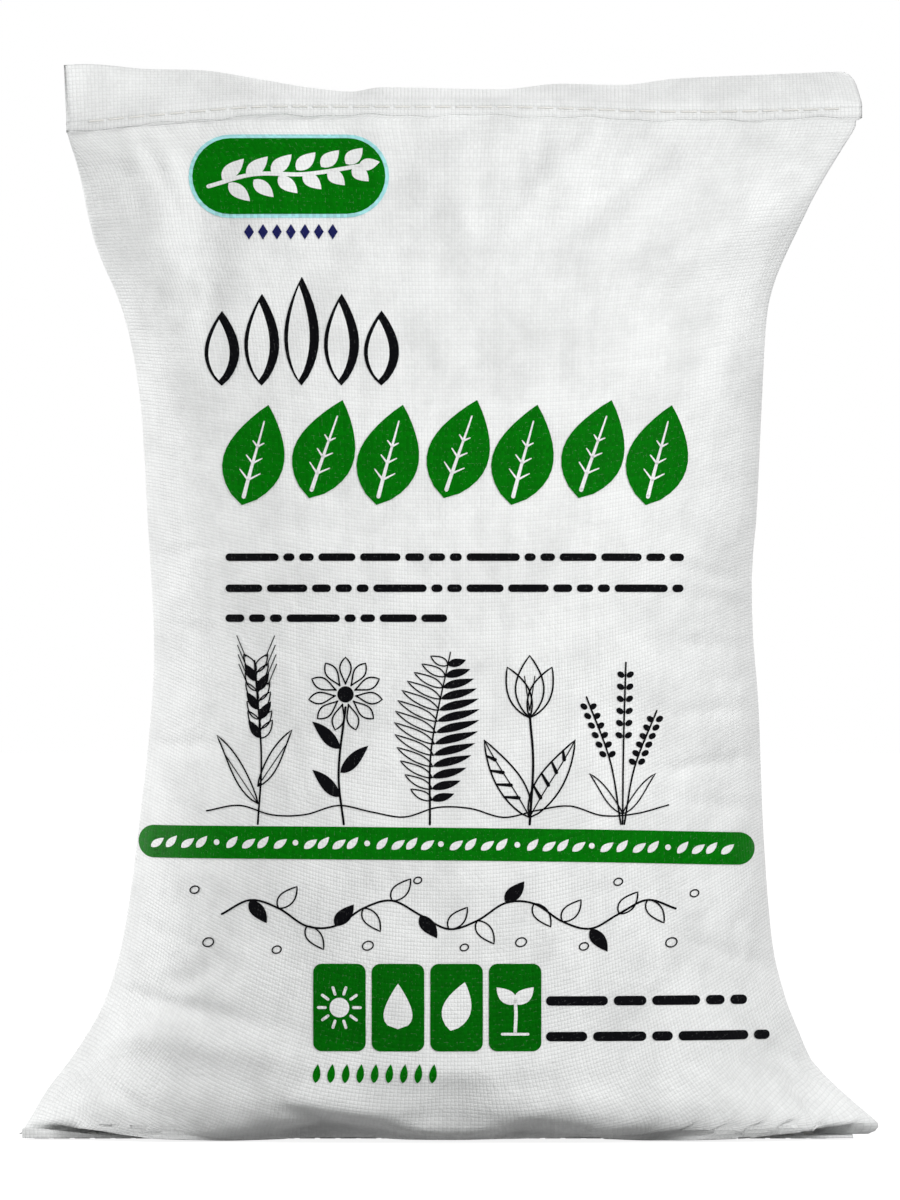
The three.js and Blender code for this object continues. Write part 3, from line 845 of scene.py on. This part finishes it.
def wheat(black, x, z):
    """An ear of wheat that grows from (x, z), as each plant below does."""
    black.line([(x, z), (x + 0.002, z + 0.04), (x - 0.002, z + 0.095)], 0.0011)
    for k in range(8):
        pz = z + 0.05 + 0.0055 * k
        px = x + 0.0015 - 0.0004 * k
        for side in (-1, 1):
            grain = leaf(px, pz, 0.0125, 0.0052, -side * 34)
            if (k + (side > 0)) % 3 == 0:
                black.shape(grain)
            else:
                black.ring(grain, 0.0008)
            if k > 3:
                black.line([(px + side * 0.006, pz + 0.009), (px + side * 0.011, pz + 0.021)], 0.0006)
    for side, rise, length in ((-1, 0.012, 0.046), (1, 0.022, 0.038)):
        black.ring(leaf(x, z + rise, length, 0.0075, -side * 38, side * -0.12), 0.0009)
        black.line([(x, z + rise), (x + side * length * 0.42, z + rise + length * 0.62)], 0.0006)


def daisy(black, x, z):
    black.line([(x, z), (x - 0.003, z + 0.03), (x + 0.001, z + 0.068)], 0.0013)
    hub_z = z + 0.0755
    for k in range(11):
        turn = 360 * k / 11
        ox, oz = 0.006 * math.sin(math.radians(-turn)), 0.006 * math.cos(math.radians(turn))
        black.ring(leaf(x + 0.001 + ox, hub_z + oz, 0.0155, 0.0066, turn, 0, 0.6), 0.0009)
    black.shape(oval(x + 0.001, hub_z, 0.0095, 0.0095))
    for side, rise in ((-1, 0.016), (1, 0.03), (-1, 0.044)):
        black.shape(leaf(x - 0.002, z + rise, 0.0225, 0.0075, -side * 52, side * -0.1))


def fern(black, x, z):
    black.line([(x, z), (x + 0.001, z + 0.045), (x + 0.012, z + 0.1)], 0.0013, 0.0007)
    for k in range(13):
        t = k / 13
        px, pz = x + 0.001 + 0.011 * t**2, z + 0.014 + 0.085 * t
        length = 0.0235 * math.sin(math.pi * (0.15 + 0.8 * t)) + 0.003
        for side in (-1, 1):
            frond = leaf(px, pz, length, 0.0049, -side * 62 - 6, side * 0.1)
            if side > 0:
                black.shape(frond)
            else:
                black.ring(frond, 0.0008)


def tulip(black, x, z):
    black.line([(x, z), (x + 0.002, z + 0.035), (x, z + 0.064)], 0.0014)
    head = z + 0.062
    for turn, breadth, reach in ((0, 0.0165, 0.036), (24, 0.0125, 0.032), (-24, 0.0125, 0.032)):
        black.ring(leaf(x, head, reach, breadth, turn, 0, 0.46), 0.001)
    for side in (-1, 1):
        black.line([(x, head + 0.004), (x + side * 0.003, head + 0.024)], 0.0006)
        left, right, rib = leaf_sides(x, z + 0.004, 0.052, 0.0145, -side * 27, side * 0.06)
        black.ring(left + right[-2:0:-1], 0.001)
        black.line(rib, 0.0007, soft=False)
        for vein in (3, 5, 7, 9):
            black.line([rib[vein], left[min(vein + 1, 12)]], 0.0022, 0.0012, soft=False)


def lavender(black, x, z):
    for foot, tip, rise in ((-0.001, -0.021, 0.074), (0.0, 0.002, 0.094), (0.001, 0.02, 0.066)):
        black.line([(x + foot, z), (x + foot + tip * 0.3, z + rise * 0.5), (x + tip, z + rise)], 0.001)
        for k in range(6):
            t = 0.55 + 0.075 * k
            px, pz = x + foot + tip * (0.3 + 0.7 * (t - 0.5) / 0.5), z + rise * t
            for side in (-1, 1):
                black.shape(oval(px + side * 0.0027, pz, 0.0046, 0.0034, side * 35, 12))
    for side in (-1, 1):
        black.ring(leaf(x, z + 0.006, 0.03, 0.0046, -side * 48, side * -0.15), 0.0008)


def garden(black):
    """A row of garden plants on a wavy line of ground, and a vine among pebbles below it."""
    ground = [(-0.142 + 0.0192 * k, 0.1935 + 0.0035 * math.sin(1.9 * k)) for k in range(15)]
    black.line(ground, 0.0009)
    wheat(black, -0.112, 0.186)
    daisy(black, -0.062, 0.186)
    fern(black, -0.012, 0.186)
    tulip(black, 0.046, 0.186)
    lavender(black, 0.1, 0.186)
    vine = [(-0.133 + 0.0165 * k, 0.1335 + 0.0085 * math.sin(1.35 * k)) for k in range(17)]
    black.line(vine, 0.0012)
    for k, (px, pz) in enumerate(vine[1:-1]):
        side = 1 if k % 2 else -1
        turn = 35 if side > 0 else 150
        shape = leaf(px, pz, 0.0165, 0.0082, -turn, 0.1 * side)
        if k % 3:
            black.ring(shape, 0.0009)
        else:
            black.shape(shape)
    for px, pz, size in (
        (-0.141, 0.117, 0.005), (-0.101, 0.113, 0.0042), (-0.048, 0.1155, 0.005), (0.008, 0.1145, 0.0038),
        (0.041, 0.1175, 0.005), (0.0775, 0.115, 0.0042), (0.1285, 0.117, 0.0052), (0.142, 0.1455, 0.004),
        (-0.149, 0.1475, 0.0042), (-0.019, 0.1535, 0.0036), (0.0975, 0.1525, 0.004),
    ):
        black.ring(oval(px, pz, size * 1.3, size, 20, 14), 0.0008)


def banner(green, bare):
    """The band across the middle, with a row of small bare marks on it."""
    middle = [(-0.1729, 0.1754), (-0.09, 0.1752), (0.0026, 0.1745), (0.09, 0.1733), (0.168, 0.1713)]
    green.line(smooth_line(middle, 0.004), 0.019, soft=False)
    line = smooth_line([(-0.1715, 0.1754), *middle[1:4], (0.1605, 0.1714)], 0.0083)
    for k, (px, pz) in enumerate(line):
        if k % 5 == 4:
            bare.shape(oval(px, pz, 0.0034, 0.0034, steps=12))
        else:
            bare.shape(leaf(px - 0.003, pz - 0.0033, 0.0093, 0.0042, -40 if k % 2 else -52, 0.05))


def tiles(deep, bare):
    """Four tall tiles, with a sun, a drop, a leaf and a sprout left bare."""
    z = 0.0795
    centres = [-0.0645 + 0.034 * k for k in range(4)]
    for x in centres:
        deep.shape(rounded(x, z, 0.0305, 0.051, 0.005))
    sun, drop, foliage, sprout = centres
    bare.shape(oval(sun, z, 0.0115, 0.0115))
    for k in range(10):
        angle = math.tau * k / 10
        near, far = 0.0082, 0.0122
        bare.line([
            (sun + near * math.cos(angle), z + near * math.sin(angle)),
            (sun + far * math.cos(angle), z + far * math.sin(angle)),
        ], 0.0017, soft=False)
    bare.shape(leaf(drop, z - 0.0125, 0.0265, 0.0168, 0, 0, 0.3))
    bare.shape(leaf(foliage - 0.0035, z - 0.0135, 0.0295, 0.0165, -14, 0.04))
    bare.line([(sprout, z - 0.0145), (sprout + 0.0005, z - 0.004), (sprout, z + 0.0045)], 0.002)
    bare.shape(leaf(sprout, z + 0.002, 0.0145, 0.0082, 42, -0.1))
    bare.shape(leaf(sprout, z + 0.002, 0.0145, 0.0082, -42, 0.1))
    bare.line([(sprout - 0.0075, z - 0.0155), (sprout + 0.0075, z - 0.0155)], 0.0016, soft=False)


def front_print():
    """Every ink of the front, from the lowest layer to the highest."""
    lowest, middle, highest = 0.0004, 0.00055, 0.0007
    rim, navy, black = (Ink(lowest) for _ in range(3))
    green, deep, bare = Ink(middle), Ink(middle), Ink(highest)
    badge(rim, green, bare)
    lozenge_row(navy)
    blade_row(black, bare)
    leaf_frieze(green, bare)
    words = (0.031, 0.0065, 0.0085, 0.0215, 0.0235, 0.011, 0.0095, 0.007)
    dash_row(black, -0.131, 0.136, 0.3413, 0.0044, words)
    dash_row(black, -0.131, 0.1365, 0.3232, 0.0044, words[3:] + words[:3])
    dash_row(black, -0.131, -0.002, 0.3058, 0.0044, words[5:] + words[:5])
    garden(black)
    banner(green, bare)
    tiles(deep, bare)
    for k in range(9):
        green.shape(leaf(-0.0785 + 0.00845 * k, 0.0355, 0.0112, 0.0044, -8))
    dash_row(black, 0.0555, 0.1729, 0.0833, 0.0055, (0.036, 0.019, 0.028, 0.011))
    dash_row(black, 0.0555, 0.1864, 0.0625, 0.0055, (0.024, 0.031, 0.012, 0.041))
    return {
        "rim_print": (rim, colours().pale_blue), "navy_print": (navy, colours().navy),
        "black_print": (black, colours().black), "green_print": (green, colours().leaf_green),
        "tile_print": (deep, colours().deep_green), "bare_marks": (bare, None),
    }


def deselect_all():
    for chosen in list(bpy.context.selected_objects):
        chosen.select_set(False)


def make_active(piece):
    deselect_all()
    piece.select_set(True)
    bpy.context.view_layer.objects.active = piece


def new_piece(name, mesh, material):
    piece = bpy.data.objects.new(name, mesh)
    bpy.context.scene.collection.objects.link(piece)
    mesh.materials.clear()
    mesh.materials.append(material)
    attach(piece, "root")
    return piece


class Wire:
    """A node socket that takes part in Python arithmetic."""

    def __init__(self, tree, socket):
        self.tree = tree
        self.socket = socket

    def math(self, operation, *others, reflected=False):
        values = [self, *others]
        if reflected:
            values.reverse()
        node = self.tree.nodes.new("ShaderNodeMath")
        node.operation = operation
        for slot_number, value in enumerate(values):
            if isinstance(value, Wire):
                self.tree.links.new(value.socket, node.inputs[slot_number])
            else:
                node.inputs[slot_number].default_value = value
        return Wire(self.tree, node.outputs[0])

    def __add__(self, other):
        return self.math("ADD", other)

    __radd__ = __add__

    def __sub__(self, other):
        return self.math("SUBTRACT", other)

    def __rsub__(self, other):
        return self.math("SUBTRACT", other, reflected=True)

    def __mul__(self, other):
        return self.math("MULTIPLY", other)

    __rmul__ = __mul__

    def __truediv__(self, other):
        return self.math("DIVIDE", other)

    def __rtruediv__(self, other):
        return self.math("DIVIDE", other, reflected=True)

    def __gt__(self, other):
        return self.math("GREATER_THAN", other)


class Finish:
    """The nodes of a material or a world, all of which come from one method."""

    def __init__(self, owner):
        owner.use_nodes = True
        self.owner = owner
        self.tree = owner.node_tree
        self.tree.nodes.clear()

    def node(self, kind, inputs=None, output=0, **settings):
        made = self.tree.nodes.new(kind)
        for setting, value in settings.items():
            setattr(made, setting, value)
        for socket, value in (inputs or {}).items():
            if isinstance(value, Wire):
                self.tree.links.new(value.socket, made.inputs[socket])
            else:
                made.inputs[socket].default_value = value
        return Wire(self.tree, made.outputs[output]) if made.outputs else None

    def blend(self, factor, low, high):
        """Mixes two colours; a colour socket of the mix node is found by its place."""
        return self.node("ShaderNodeMix", {0: factor, 6: low, 7: high}, output=2, data_type="RGBA")

    def surface(self, inputs):
        """The material, with a Principled surface of these inputs."""
        shader = self.node("ShaderNodeBsdfPrincipled", inputs)
        self.node("ShaderNodeOutputMaterial", {"Surface": shader})
        return self.owner

    def seen_directly(self):
        """1 where the camera, or a mirror or glass, sees the white background, and 0 where it only lights."""
        camera, glossy, transmission = (
            self.node("ShaderNodeLightPath", output=ray)
            for ray in ("Is Camera Ray", "Is Glossy Ray", "Is Transmission Ray")
        )
        return camera.math("MAXIMUM", glossy).math("MAXIMUM", transmission)


def new_finish(name):
    return Finish(bpy.data.materials.new(name))


def rgba(colour, scale=1.0):
    return (*[channel * scale for channel in colour], 1.0)


def weave(finish, tape):
    """The weave's height and gaps from 0 to 1, with a number for each tape, on the cloth's own metres."""
    place = finish.node("ShaderNodeUVMap", uv_map="cloth")
    u, v = (finish.node("ShaderNodeSeparateXYZ", {0: place}, output=axis) / tape for axis in (0, 1))
    column, row = u.math("FLOOR"), v.math("FLOOR")
    cu, cv = (u - column - 0.5) * 2, (v - row - 0.5) * 2
    warp_on_top = ((column + row) * 0.5).math("FRACT") > 0.25
    cu2, cv2 = cu * cu, cv * cv
    warp = (1 - cu2 * cu2 * 0.55) * (1 - cv2 * 0.75)
    weft = (1 - cv2 * cv2 * 0.55) * (1 - cu2 * 0.75)
    height = warp * warp_on_top + weft * (1 - warp_on_top)
    edge = cu.math("ABSOLUTE").math("MAXIMUM", cv.math("ABSOLUTE"))
    gap = edge > 0.93
    warp_tone = finish.node("ShaderNodeTexWhiteNoise", {"W": column + 0.37}, noise_dimensions="1D")
    weft_tone = finish.node("ShaderNodeTexWhiteNoise", {"W": row + 51.13}, noise_dimensions="1D")
    tone = warp_tone * warp_on_top + weft_tone * (1 - warp_on_top)
    return place, height, gap, tone


def crumple(finish, place):
    """Fine creases of handled plastic cloth."""
    long_marks = finish.node("ShaderNodeMapping", {"Vector": place, "Scale": (26.0, 90.0, 1.0)})
    fine = finish.node("ShaderNodeTexNoise", {
        "Vector": long_marks, "Scale": 1.0, "Detail": 4.0, "Distortion": 1.2,
    })
    broad = finish.node("ShaderNodeTexNoise", {
        "Vector": place, "Scale": 34.0, "Detail": 3.0, "Distortion": 2.0,
    })
    ridged = 1 - (broad - 0.5).math("ABSOLUTE") * 6
    return fine * 0.5 + ridged.math("MAXIMUM", 0.0) * 0.5


def dust_and_foot_shade(finish, place):
    """Faint patches of dust all over, and painted shade along the middle of the lower edge, darker towards
    the floor.
    """
    where = finish.node("ShaderNodeTexCoord", output="Object")
    across, height = (finish.node("ShaderNodeSeparateXYZ", {0: where}, output=axis) for axis in (0, 2))
    # Painted shade: darker towards the floor along the middle of the lower edge, where the cloth turns under,
    # with a speckle in it
    low = finish.node(
        "ShaderNodeMapRange", {"Value": height, "From Min": 0.034, "From Max": 0.004},
        interpolation_type="SMOOTHSTEP",
    )
    middle = (1 - across * across * 21).math("MAXIMUM", 0.0)
    speckle, patches = (finish.node("ShaderNodeTexNoise", {
        "Vector": place, "Scale": scale, "Detail": detail, "Roughness": roughness,
    }) for scale, detail, roughness in ((150.0, 4.0, 0.7), (22.0, 6.0, 0.66)))
    faint = finish.node("ShaderNodeMapRange", {"Value": patches, "From Min": 0.42, "From Max": 0.72})
    return faint * 0.36 + low * middle * (speckle * 0.9 + 0.2)


def bumps(finish, weave_height, depth, strength, creases):
    """The normal that the weave and the creases give together."""
    woven = finish.node("ShaderNodeBump", {"Height": weave_height, "Distance": depth, "Strength": strength})
    return finish.node("ShaderNodeBump", {
        "Height": creases, "Distance": 0.001, "Strength": 0.3, "Normal": woven,
    })


def cloth_finish():
    finish = new_finish("woven_cloth_white")
    base = colours().cloth
    place, height, gap, tone = weave(finish, sizes().tape_width)
    # Painted light: the crowns of the tapes are painted lighter by their height, and each tape also has a
    # tone of its own that differs at random
    lit = finish.blend(tone * 0.5 + height * 0.5, rgba(base, 0.93), rgba(base, 1.04))
    # Painted shade at the foot and the faint dust patches both darken the cloth, towards half its colour
    dusty_and_foot_shaded = finish.blend(dust_and_foot_shade(finish, place), lit, rgba(base, 0.5))
    return finish.surface({
        "Base Color": finish.blend(gap * 0.35, dusty_and_foot_shaded, rgba(base, 0.62)),
        "Roughness": tone * 0.12 + 0.42,
        "Normal": bumps(finish, height, 0.0003, 0.9, crumple(finish, place)),
        "Specular IOR Level": 0.45,
        "Sheen Weight": 0.08,
    })


def ink_finish(name, ink):
    """Printing ink on the weave: it lies on top of the tapes and misses some of the gaps between them."""
    finish = new_finish(name)
    place, height, gap, tone = weave(finish, sizes().tape_width)
    worn = finish.node("ShaderNodeTexNoise", {"Vector": place, "Scale": 420.0, "Detail": 2.0})
    missed = gap * (worn > 0.6) * 0.16
    inked = finish.blend(tone, rgba(ink, 0.88), rgba(ink, 1.14))
    return finish.surface({
        "Base Color": finish.blend(missed, inked, rgba([0.3 * channel + 0.45 for channel in ink])),
        "Roughness": tone * 0.1 + 0.5,
        "Normal": bumps(finish, height, 0.00022, 0.8, crumple(finish, place)),
        "Specular IOR Level": 0.03,
    })


def thread_finish():
    finish = new_finish("sewing_yarn")
    place = finish.node("ShaderNodeTexCoord", output="Object")
    ply = finish.node(
        "ShaderNodeTexWave", {"Vector": place, "Scale": 900.0, "Distortion": 1.0},
        wave_type="BANDS", bands_direction="DIAGONAL",
    )
    fuzz = finish.node("ShaderNodeTexNoise", {"Vector": place, "Scale": 2500.0, "Detail": 2.0})
    return finish.surface({
        "Base Color": finish.blend(ply, (0.8, 0.79, 0.75, 1), (0.92, 0.91, 0.88, 1)),
        "Roughness": fuzz * 0.2 + 0.7,
        "Normal": finish.node("ShaderNodeBump", {
            "Height": ply * 0.7 + fuzz * 0.3, "Distance": 0.0002, "Strength": 0.7,
        }),
    })


class SACK_OT_cloth(bpy.types.Operator):
    """Make the woven sack by filling its flat cloth"""

    bl_idname = "sack.cloth"
    bl_label = "Woven sack"

    def execute(self, context):
        shape = SackShape()
        sack = new_piece("woven_sack", sack_mesh(shape), cloth_finish())
        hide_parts("sack")
        make_active(sack)
        bpy.ops.object.shade_smooth()
        return {"FINISHED"}


class SACK_OT_bottom_hem(bpy.types.Operator):
    """Make the folded hem under the sack"""

    bl_idname = "sack.bottom_hem"
    bl_label = "Bottom hem"

    # How far its ends stop short of the cloth's, at the left and at the right. Metres, like all below.
    SHORT = (0.003, 0.018)
    UNDERSIDE = 0.0011
    CORNER = 0.005
    CELL = 0.012

    def execute(self, context):
        s = sizes()
        left, right = self.SHORT[0] - s.cloth_width / 2, s.cloth_width / 2 - self.SHORT[1]
        hem = self.slab(context, left, right)
        self.bend(hem, left, right)
        rounding = hem.modifiers.new("Rounded fold", "BEVEL")
        rounding.width, rounding.segments, rounding.limit_method = 0.0004, 2, "ANGLE"
        bpy.ops.object.modifier_apply(modifier=rounding.name)
        bpy.ops.object.shade_smooth_by_angle(angle=math.radians(50))
        layer = hem.data.uv_layers[0]
        layer.name = "cloth"
        for loop in hem.data.loops:
            co = hem.data.vertices[loop.vertex_index].co
            layer.data[loop.index].uv = (co.x + s.cloth_width / 2, co.y + co.z)
        hem.data.materials.clear()
        hem.data.materials.append(bpy.data.objects["woven_sack"].data.materials[0])
        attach(hem, "root")
        return {"FINISHED"}

    def slab(self, context, left, right):
        """The hem as a flat slab with round corners, cut into cells so that it can bend."""
        near, far, top = sizes().hem_strip
        low = self.UNDERSIDE
        bpy.ops.mesh.primitive_cube_add(size=1, location=(0, 0, 0))
        hem = context.object
        hem.name = hem.data.name = "bottom_hem"
        bpy.ops.object.mode_set(mode="EDIT")
        bpy.ops.transform.resize(value=(right - left, far - near, top - low))
        bpy.ops.transform.translate(value=((left + right) / 2, (near + far) / 2, (low + top) / 2))
        made = bmesh.from_edit_mesh(hem.data)
        for edge in made.edges:
            edge.select_set(abs(edge.verts[0].co.z - edge.verts[1].co.z) > (top - low) / 2)
        bmesh.update_edit_mesh(hem.data)
        bpy.ops.mesh.bevel(offset=self.CORNER, segments=6)
        cuts = [((x, 0, 0), (1, 0, 0)) for x in np.arange(left + self.CELL, right, self.CELL)]
        rows = (near + 0.0075, near + 0.0128, near + 0.0152, far - 0.0075)
        for place, normal in cuts + [((0, y, 0), (0, 1, 0)) for y in rows]:
            bpy.ops.mesh.select_all(action="SELECT")
            bpy.ops.mesh.bisect(plane_co=place, plane_no=normal)
        bpy.ops.object.mode_set(mode="OBJECT")
        return hem

    def bend(self, hem, left, right):
        """Presses the thread's groove into the underside, turns the left end up and lets the hem wander."""
        near, far, top = sizes().hem_strip
        for vertex in hem.data.vertices:
            co = vertex.co
            groove = math.exp(-(((co.y - (near + far) / 2) / 0.0022) ** 2))
            if co.z < (self.UNDERSIDE + top) / 2:
                co.z += 0.0004 * groove + 0.00015 * math.sin(co.x * 140)
            else:
                turned_up = smoothstep(-co.x, 0.195, 0.25) * smoothstep(-co.y, 0.006, 0.016)
                co.z += 0.0042 * turned_up
            from_middle, half_length = abs(co.x - (left + right) / 2), (right - left) / 2
            end = smoothstep(from_middle, half_length - 0.01, half_length)
            co.y += 0.0006 * math.sin(co.x * 57) * (1 - end)


class SACK_OT_print(bpy.types.Operator):
    """Print the front of the sack"""

    bl_idname = "sack.print"
    bl_label = "Front print"

    # The side of the cells that a flat shape is cut into before it is laid on the cloth, in metres
    CELL = 0.0024

    def execute(self, context):
        sack = bpy.data.objects["woven_sack"]
        cloth = cloth_surface(sack)
        for name, (ink, colour) in front_print().items():
            material = sack.data.materials[0] if colour is None else ink_finish(name, colour)
            print_on_cloth(name, ink, cloth, material, self.CELL)
        return {"FINISHED"}


class SACK_OT_threads(bpy.types.Operator):
    """Give the sewing threads their yarn"""

    bl_idname = "sack.threads"
    bl_label = "Sewing threads"

    def execute(self, context):
        yarn = thread_finish()
        for name in ("top_seam_thread", "bottom_seam_thread"):
            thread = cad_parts[name]
            thread.data.materials.clear()
            thread.data.materials.append(yarn)
        return {"FINISHED"}


class SACK_OT_stage(bpy.types.Operator):
    """Set the floor, the lights, the sky and the camera"""

    bl_idname = "sack.stage"
    bl_label = "Studio"

    # Each lamp's name, place, target and size in metres, and its power in watts
    LAMPS = (
        ("key_light", (2.0, -2.6, 1.5), (0, 0, 0.3), 1.1, 53),
        ("front_light", (-0.5, -3.2, 0.1), (0, 0, 0.2), 1.2, 32),
        ("left_light", (-2.3, 0.75, 0.6), (0, 0, 0.3), 1.0, 30),
        ("back_light", (0.8, 2.4, 1.8), (0, 0, 0.3), 1.6, 14),
    )
    # How bright the white floor looks in itself, how bright the sky looks, and how much of it lights
    FLOOR_GLOW = 0.87
    SKY_SEEN, SKY_LIGHT = 1.0, 0.6
    # The camera's place, level with the middle of what it sees, and the height of that, in metres
    CAMERA_PLACE, FRAME_HEIGHT = (-0.0003, -12.0, 0.3164), 0.7044

    def execute(self, context):
        self.floor()
        self.lights()
        self.sky()
        self.camera()
        return {"FINISHED"}

    def floor(self):
        bpy.ops.mesh.primitive_plane_add(size=60, location=(0, 0, 0))
        floor = bpy.context.object
        floor.name = "studio_floor"
        finish = new_finish("studio_white")
        matt = finish.node("ShaderNodeBsdfDiffuse", {"Color": (0.3, 0.3, 0.3, 1)})
        strength = finish.seen_directly() * self.FLOOR_GLOW
        glow = finish.node("ShaderNodeEmission", {"Color": (1, 1, 1, 1), "Strength": strength})
        both = finish.node("ShaderNodeAddShader", {0: matt, 1: glow})
        finish.node("ShaderNodeOutputMaterial", {"Surface": both})
        floor.data.materials.append(finish.owner)

    def lights(self):
        for name, place, target, size, power in self.LAMPS:
            bpy.ops.object.light_add(type="AREA", location=place)
            lamp = bpy.context.object
            lamp.name = name
            lamp.data.energy = power
            lamp.data.size = size
            aim = Vector(target) - Vector(place)
            lamp.rotation_euler = aim.to_track_quat("-Z", "Y").to_euler()

    def sky(self):
        finish = Finish(bpy.data.worlds.new("studio_sky"))
        bpy.context.scene.world = finish.owner
        strength = finish.seen_directly() * (self.SKY_SEEN - self.SKY_LIGHT) + self.SKY_LIGHT
        background = finish.node("ShaderNodeBackground", {"Color": (1, 1, 1, 1), "Strength": strength})
        finish.node("ShaderNodeOutputWorld", {"Surface": background})

    def camera(self):
        lens_data = bpy.data.cameras.new("photo_camera")
        lens_data.lens = lens_data.sensor_width * -self.CAMERA_PLACE[1] / self.FRAME_HEIGHT
        lens_data.clip_start, lens_data.clip_end = 0.5, 60
        camera = bpy.data.objects.new("photo_camera", lens_data)
        bpy.context.scene.collection.objects.link(camera)
        camera.location = self.CAMERA_PLACE
        camera.rotation_euler = (math.pi / 2, 0, 0)
        scene = bpy.context.scene
        scene.camera = camera
        scene.view_settings.view_transform = "Standard"


class SACK_PT_panel(bpy.types.Panel):
    """The sack's pieces and sizes"""

    bl_idname = "SACK_PT_panel"
    bl_label = "Compost Sack"
    bl_space_type = "VIEW_3D"
    bl_region_type = "UI"
    bl_category = "Sack"

    def draw(self, context):
        for operator in OPERATORS:
            self.layout.operator(operator.bl_idname)
        for group in (context.scene.sack_sizes, context.scene.sack_colours):
            for name in group.bl_rna.properties.keys():
                if name not in ("rna_type", "name"):
                    self.layout.prop(group, name)


OPERATORS = (SACK_OT_cloth, SACK_OT_bottom_hem, SACK_OT_print, SACK_OT_threads, SACK_OT_stage)
CLASSES = (SackSizes, SackColours, *OPERATORS, SACK_PT_panel)


def register():
    for made in CLASSES:
        bpy.utils.register_class(made)
    bpy.types.Scene.sack_sizes = PointerProperty(type=SackSizes)
    bpy.types.Scene.sack_colours = PointerProperty(type=SackColours)


def unregister():
    del bpy.types.Scene.sack_colours
    del bpy.types.Scene.sack_sizes
    for made in reversed(CLASSES):
        bpy.utils.unregister_class(made)


def main():
    register()
    deselect_all()
    bpy.ops.sack.cloth()
    bpy.ops.sack.bottom_hem()
    bpy.ops.sack.print()
    bpy.ops.sack.threads()
    bpy.ops.sack.stage()


if __name__ == "__main__":
    main()
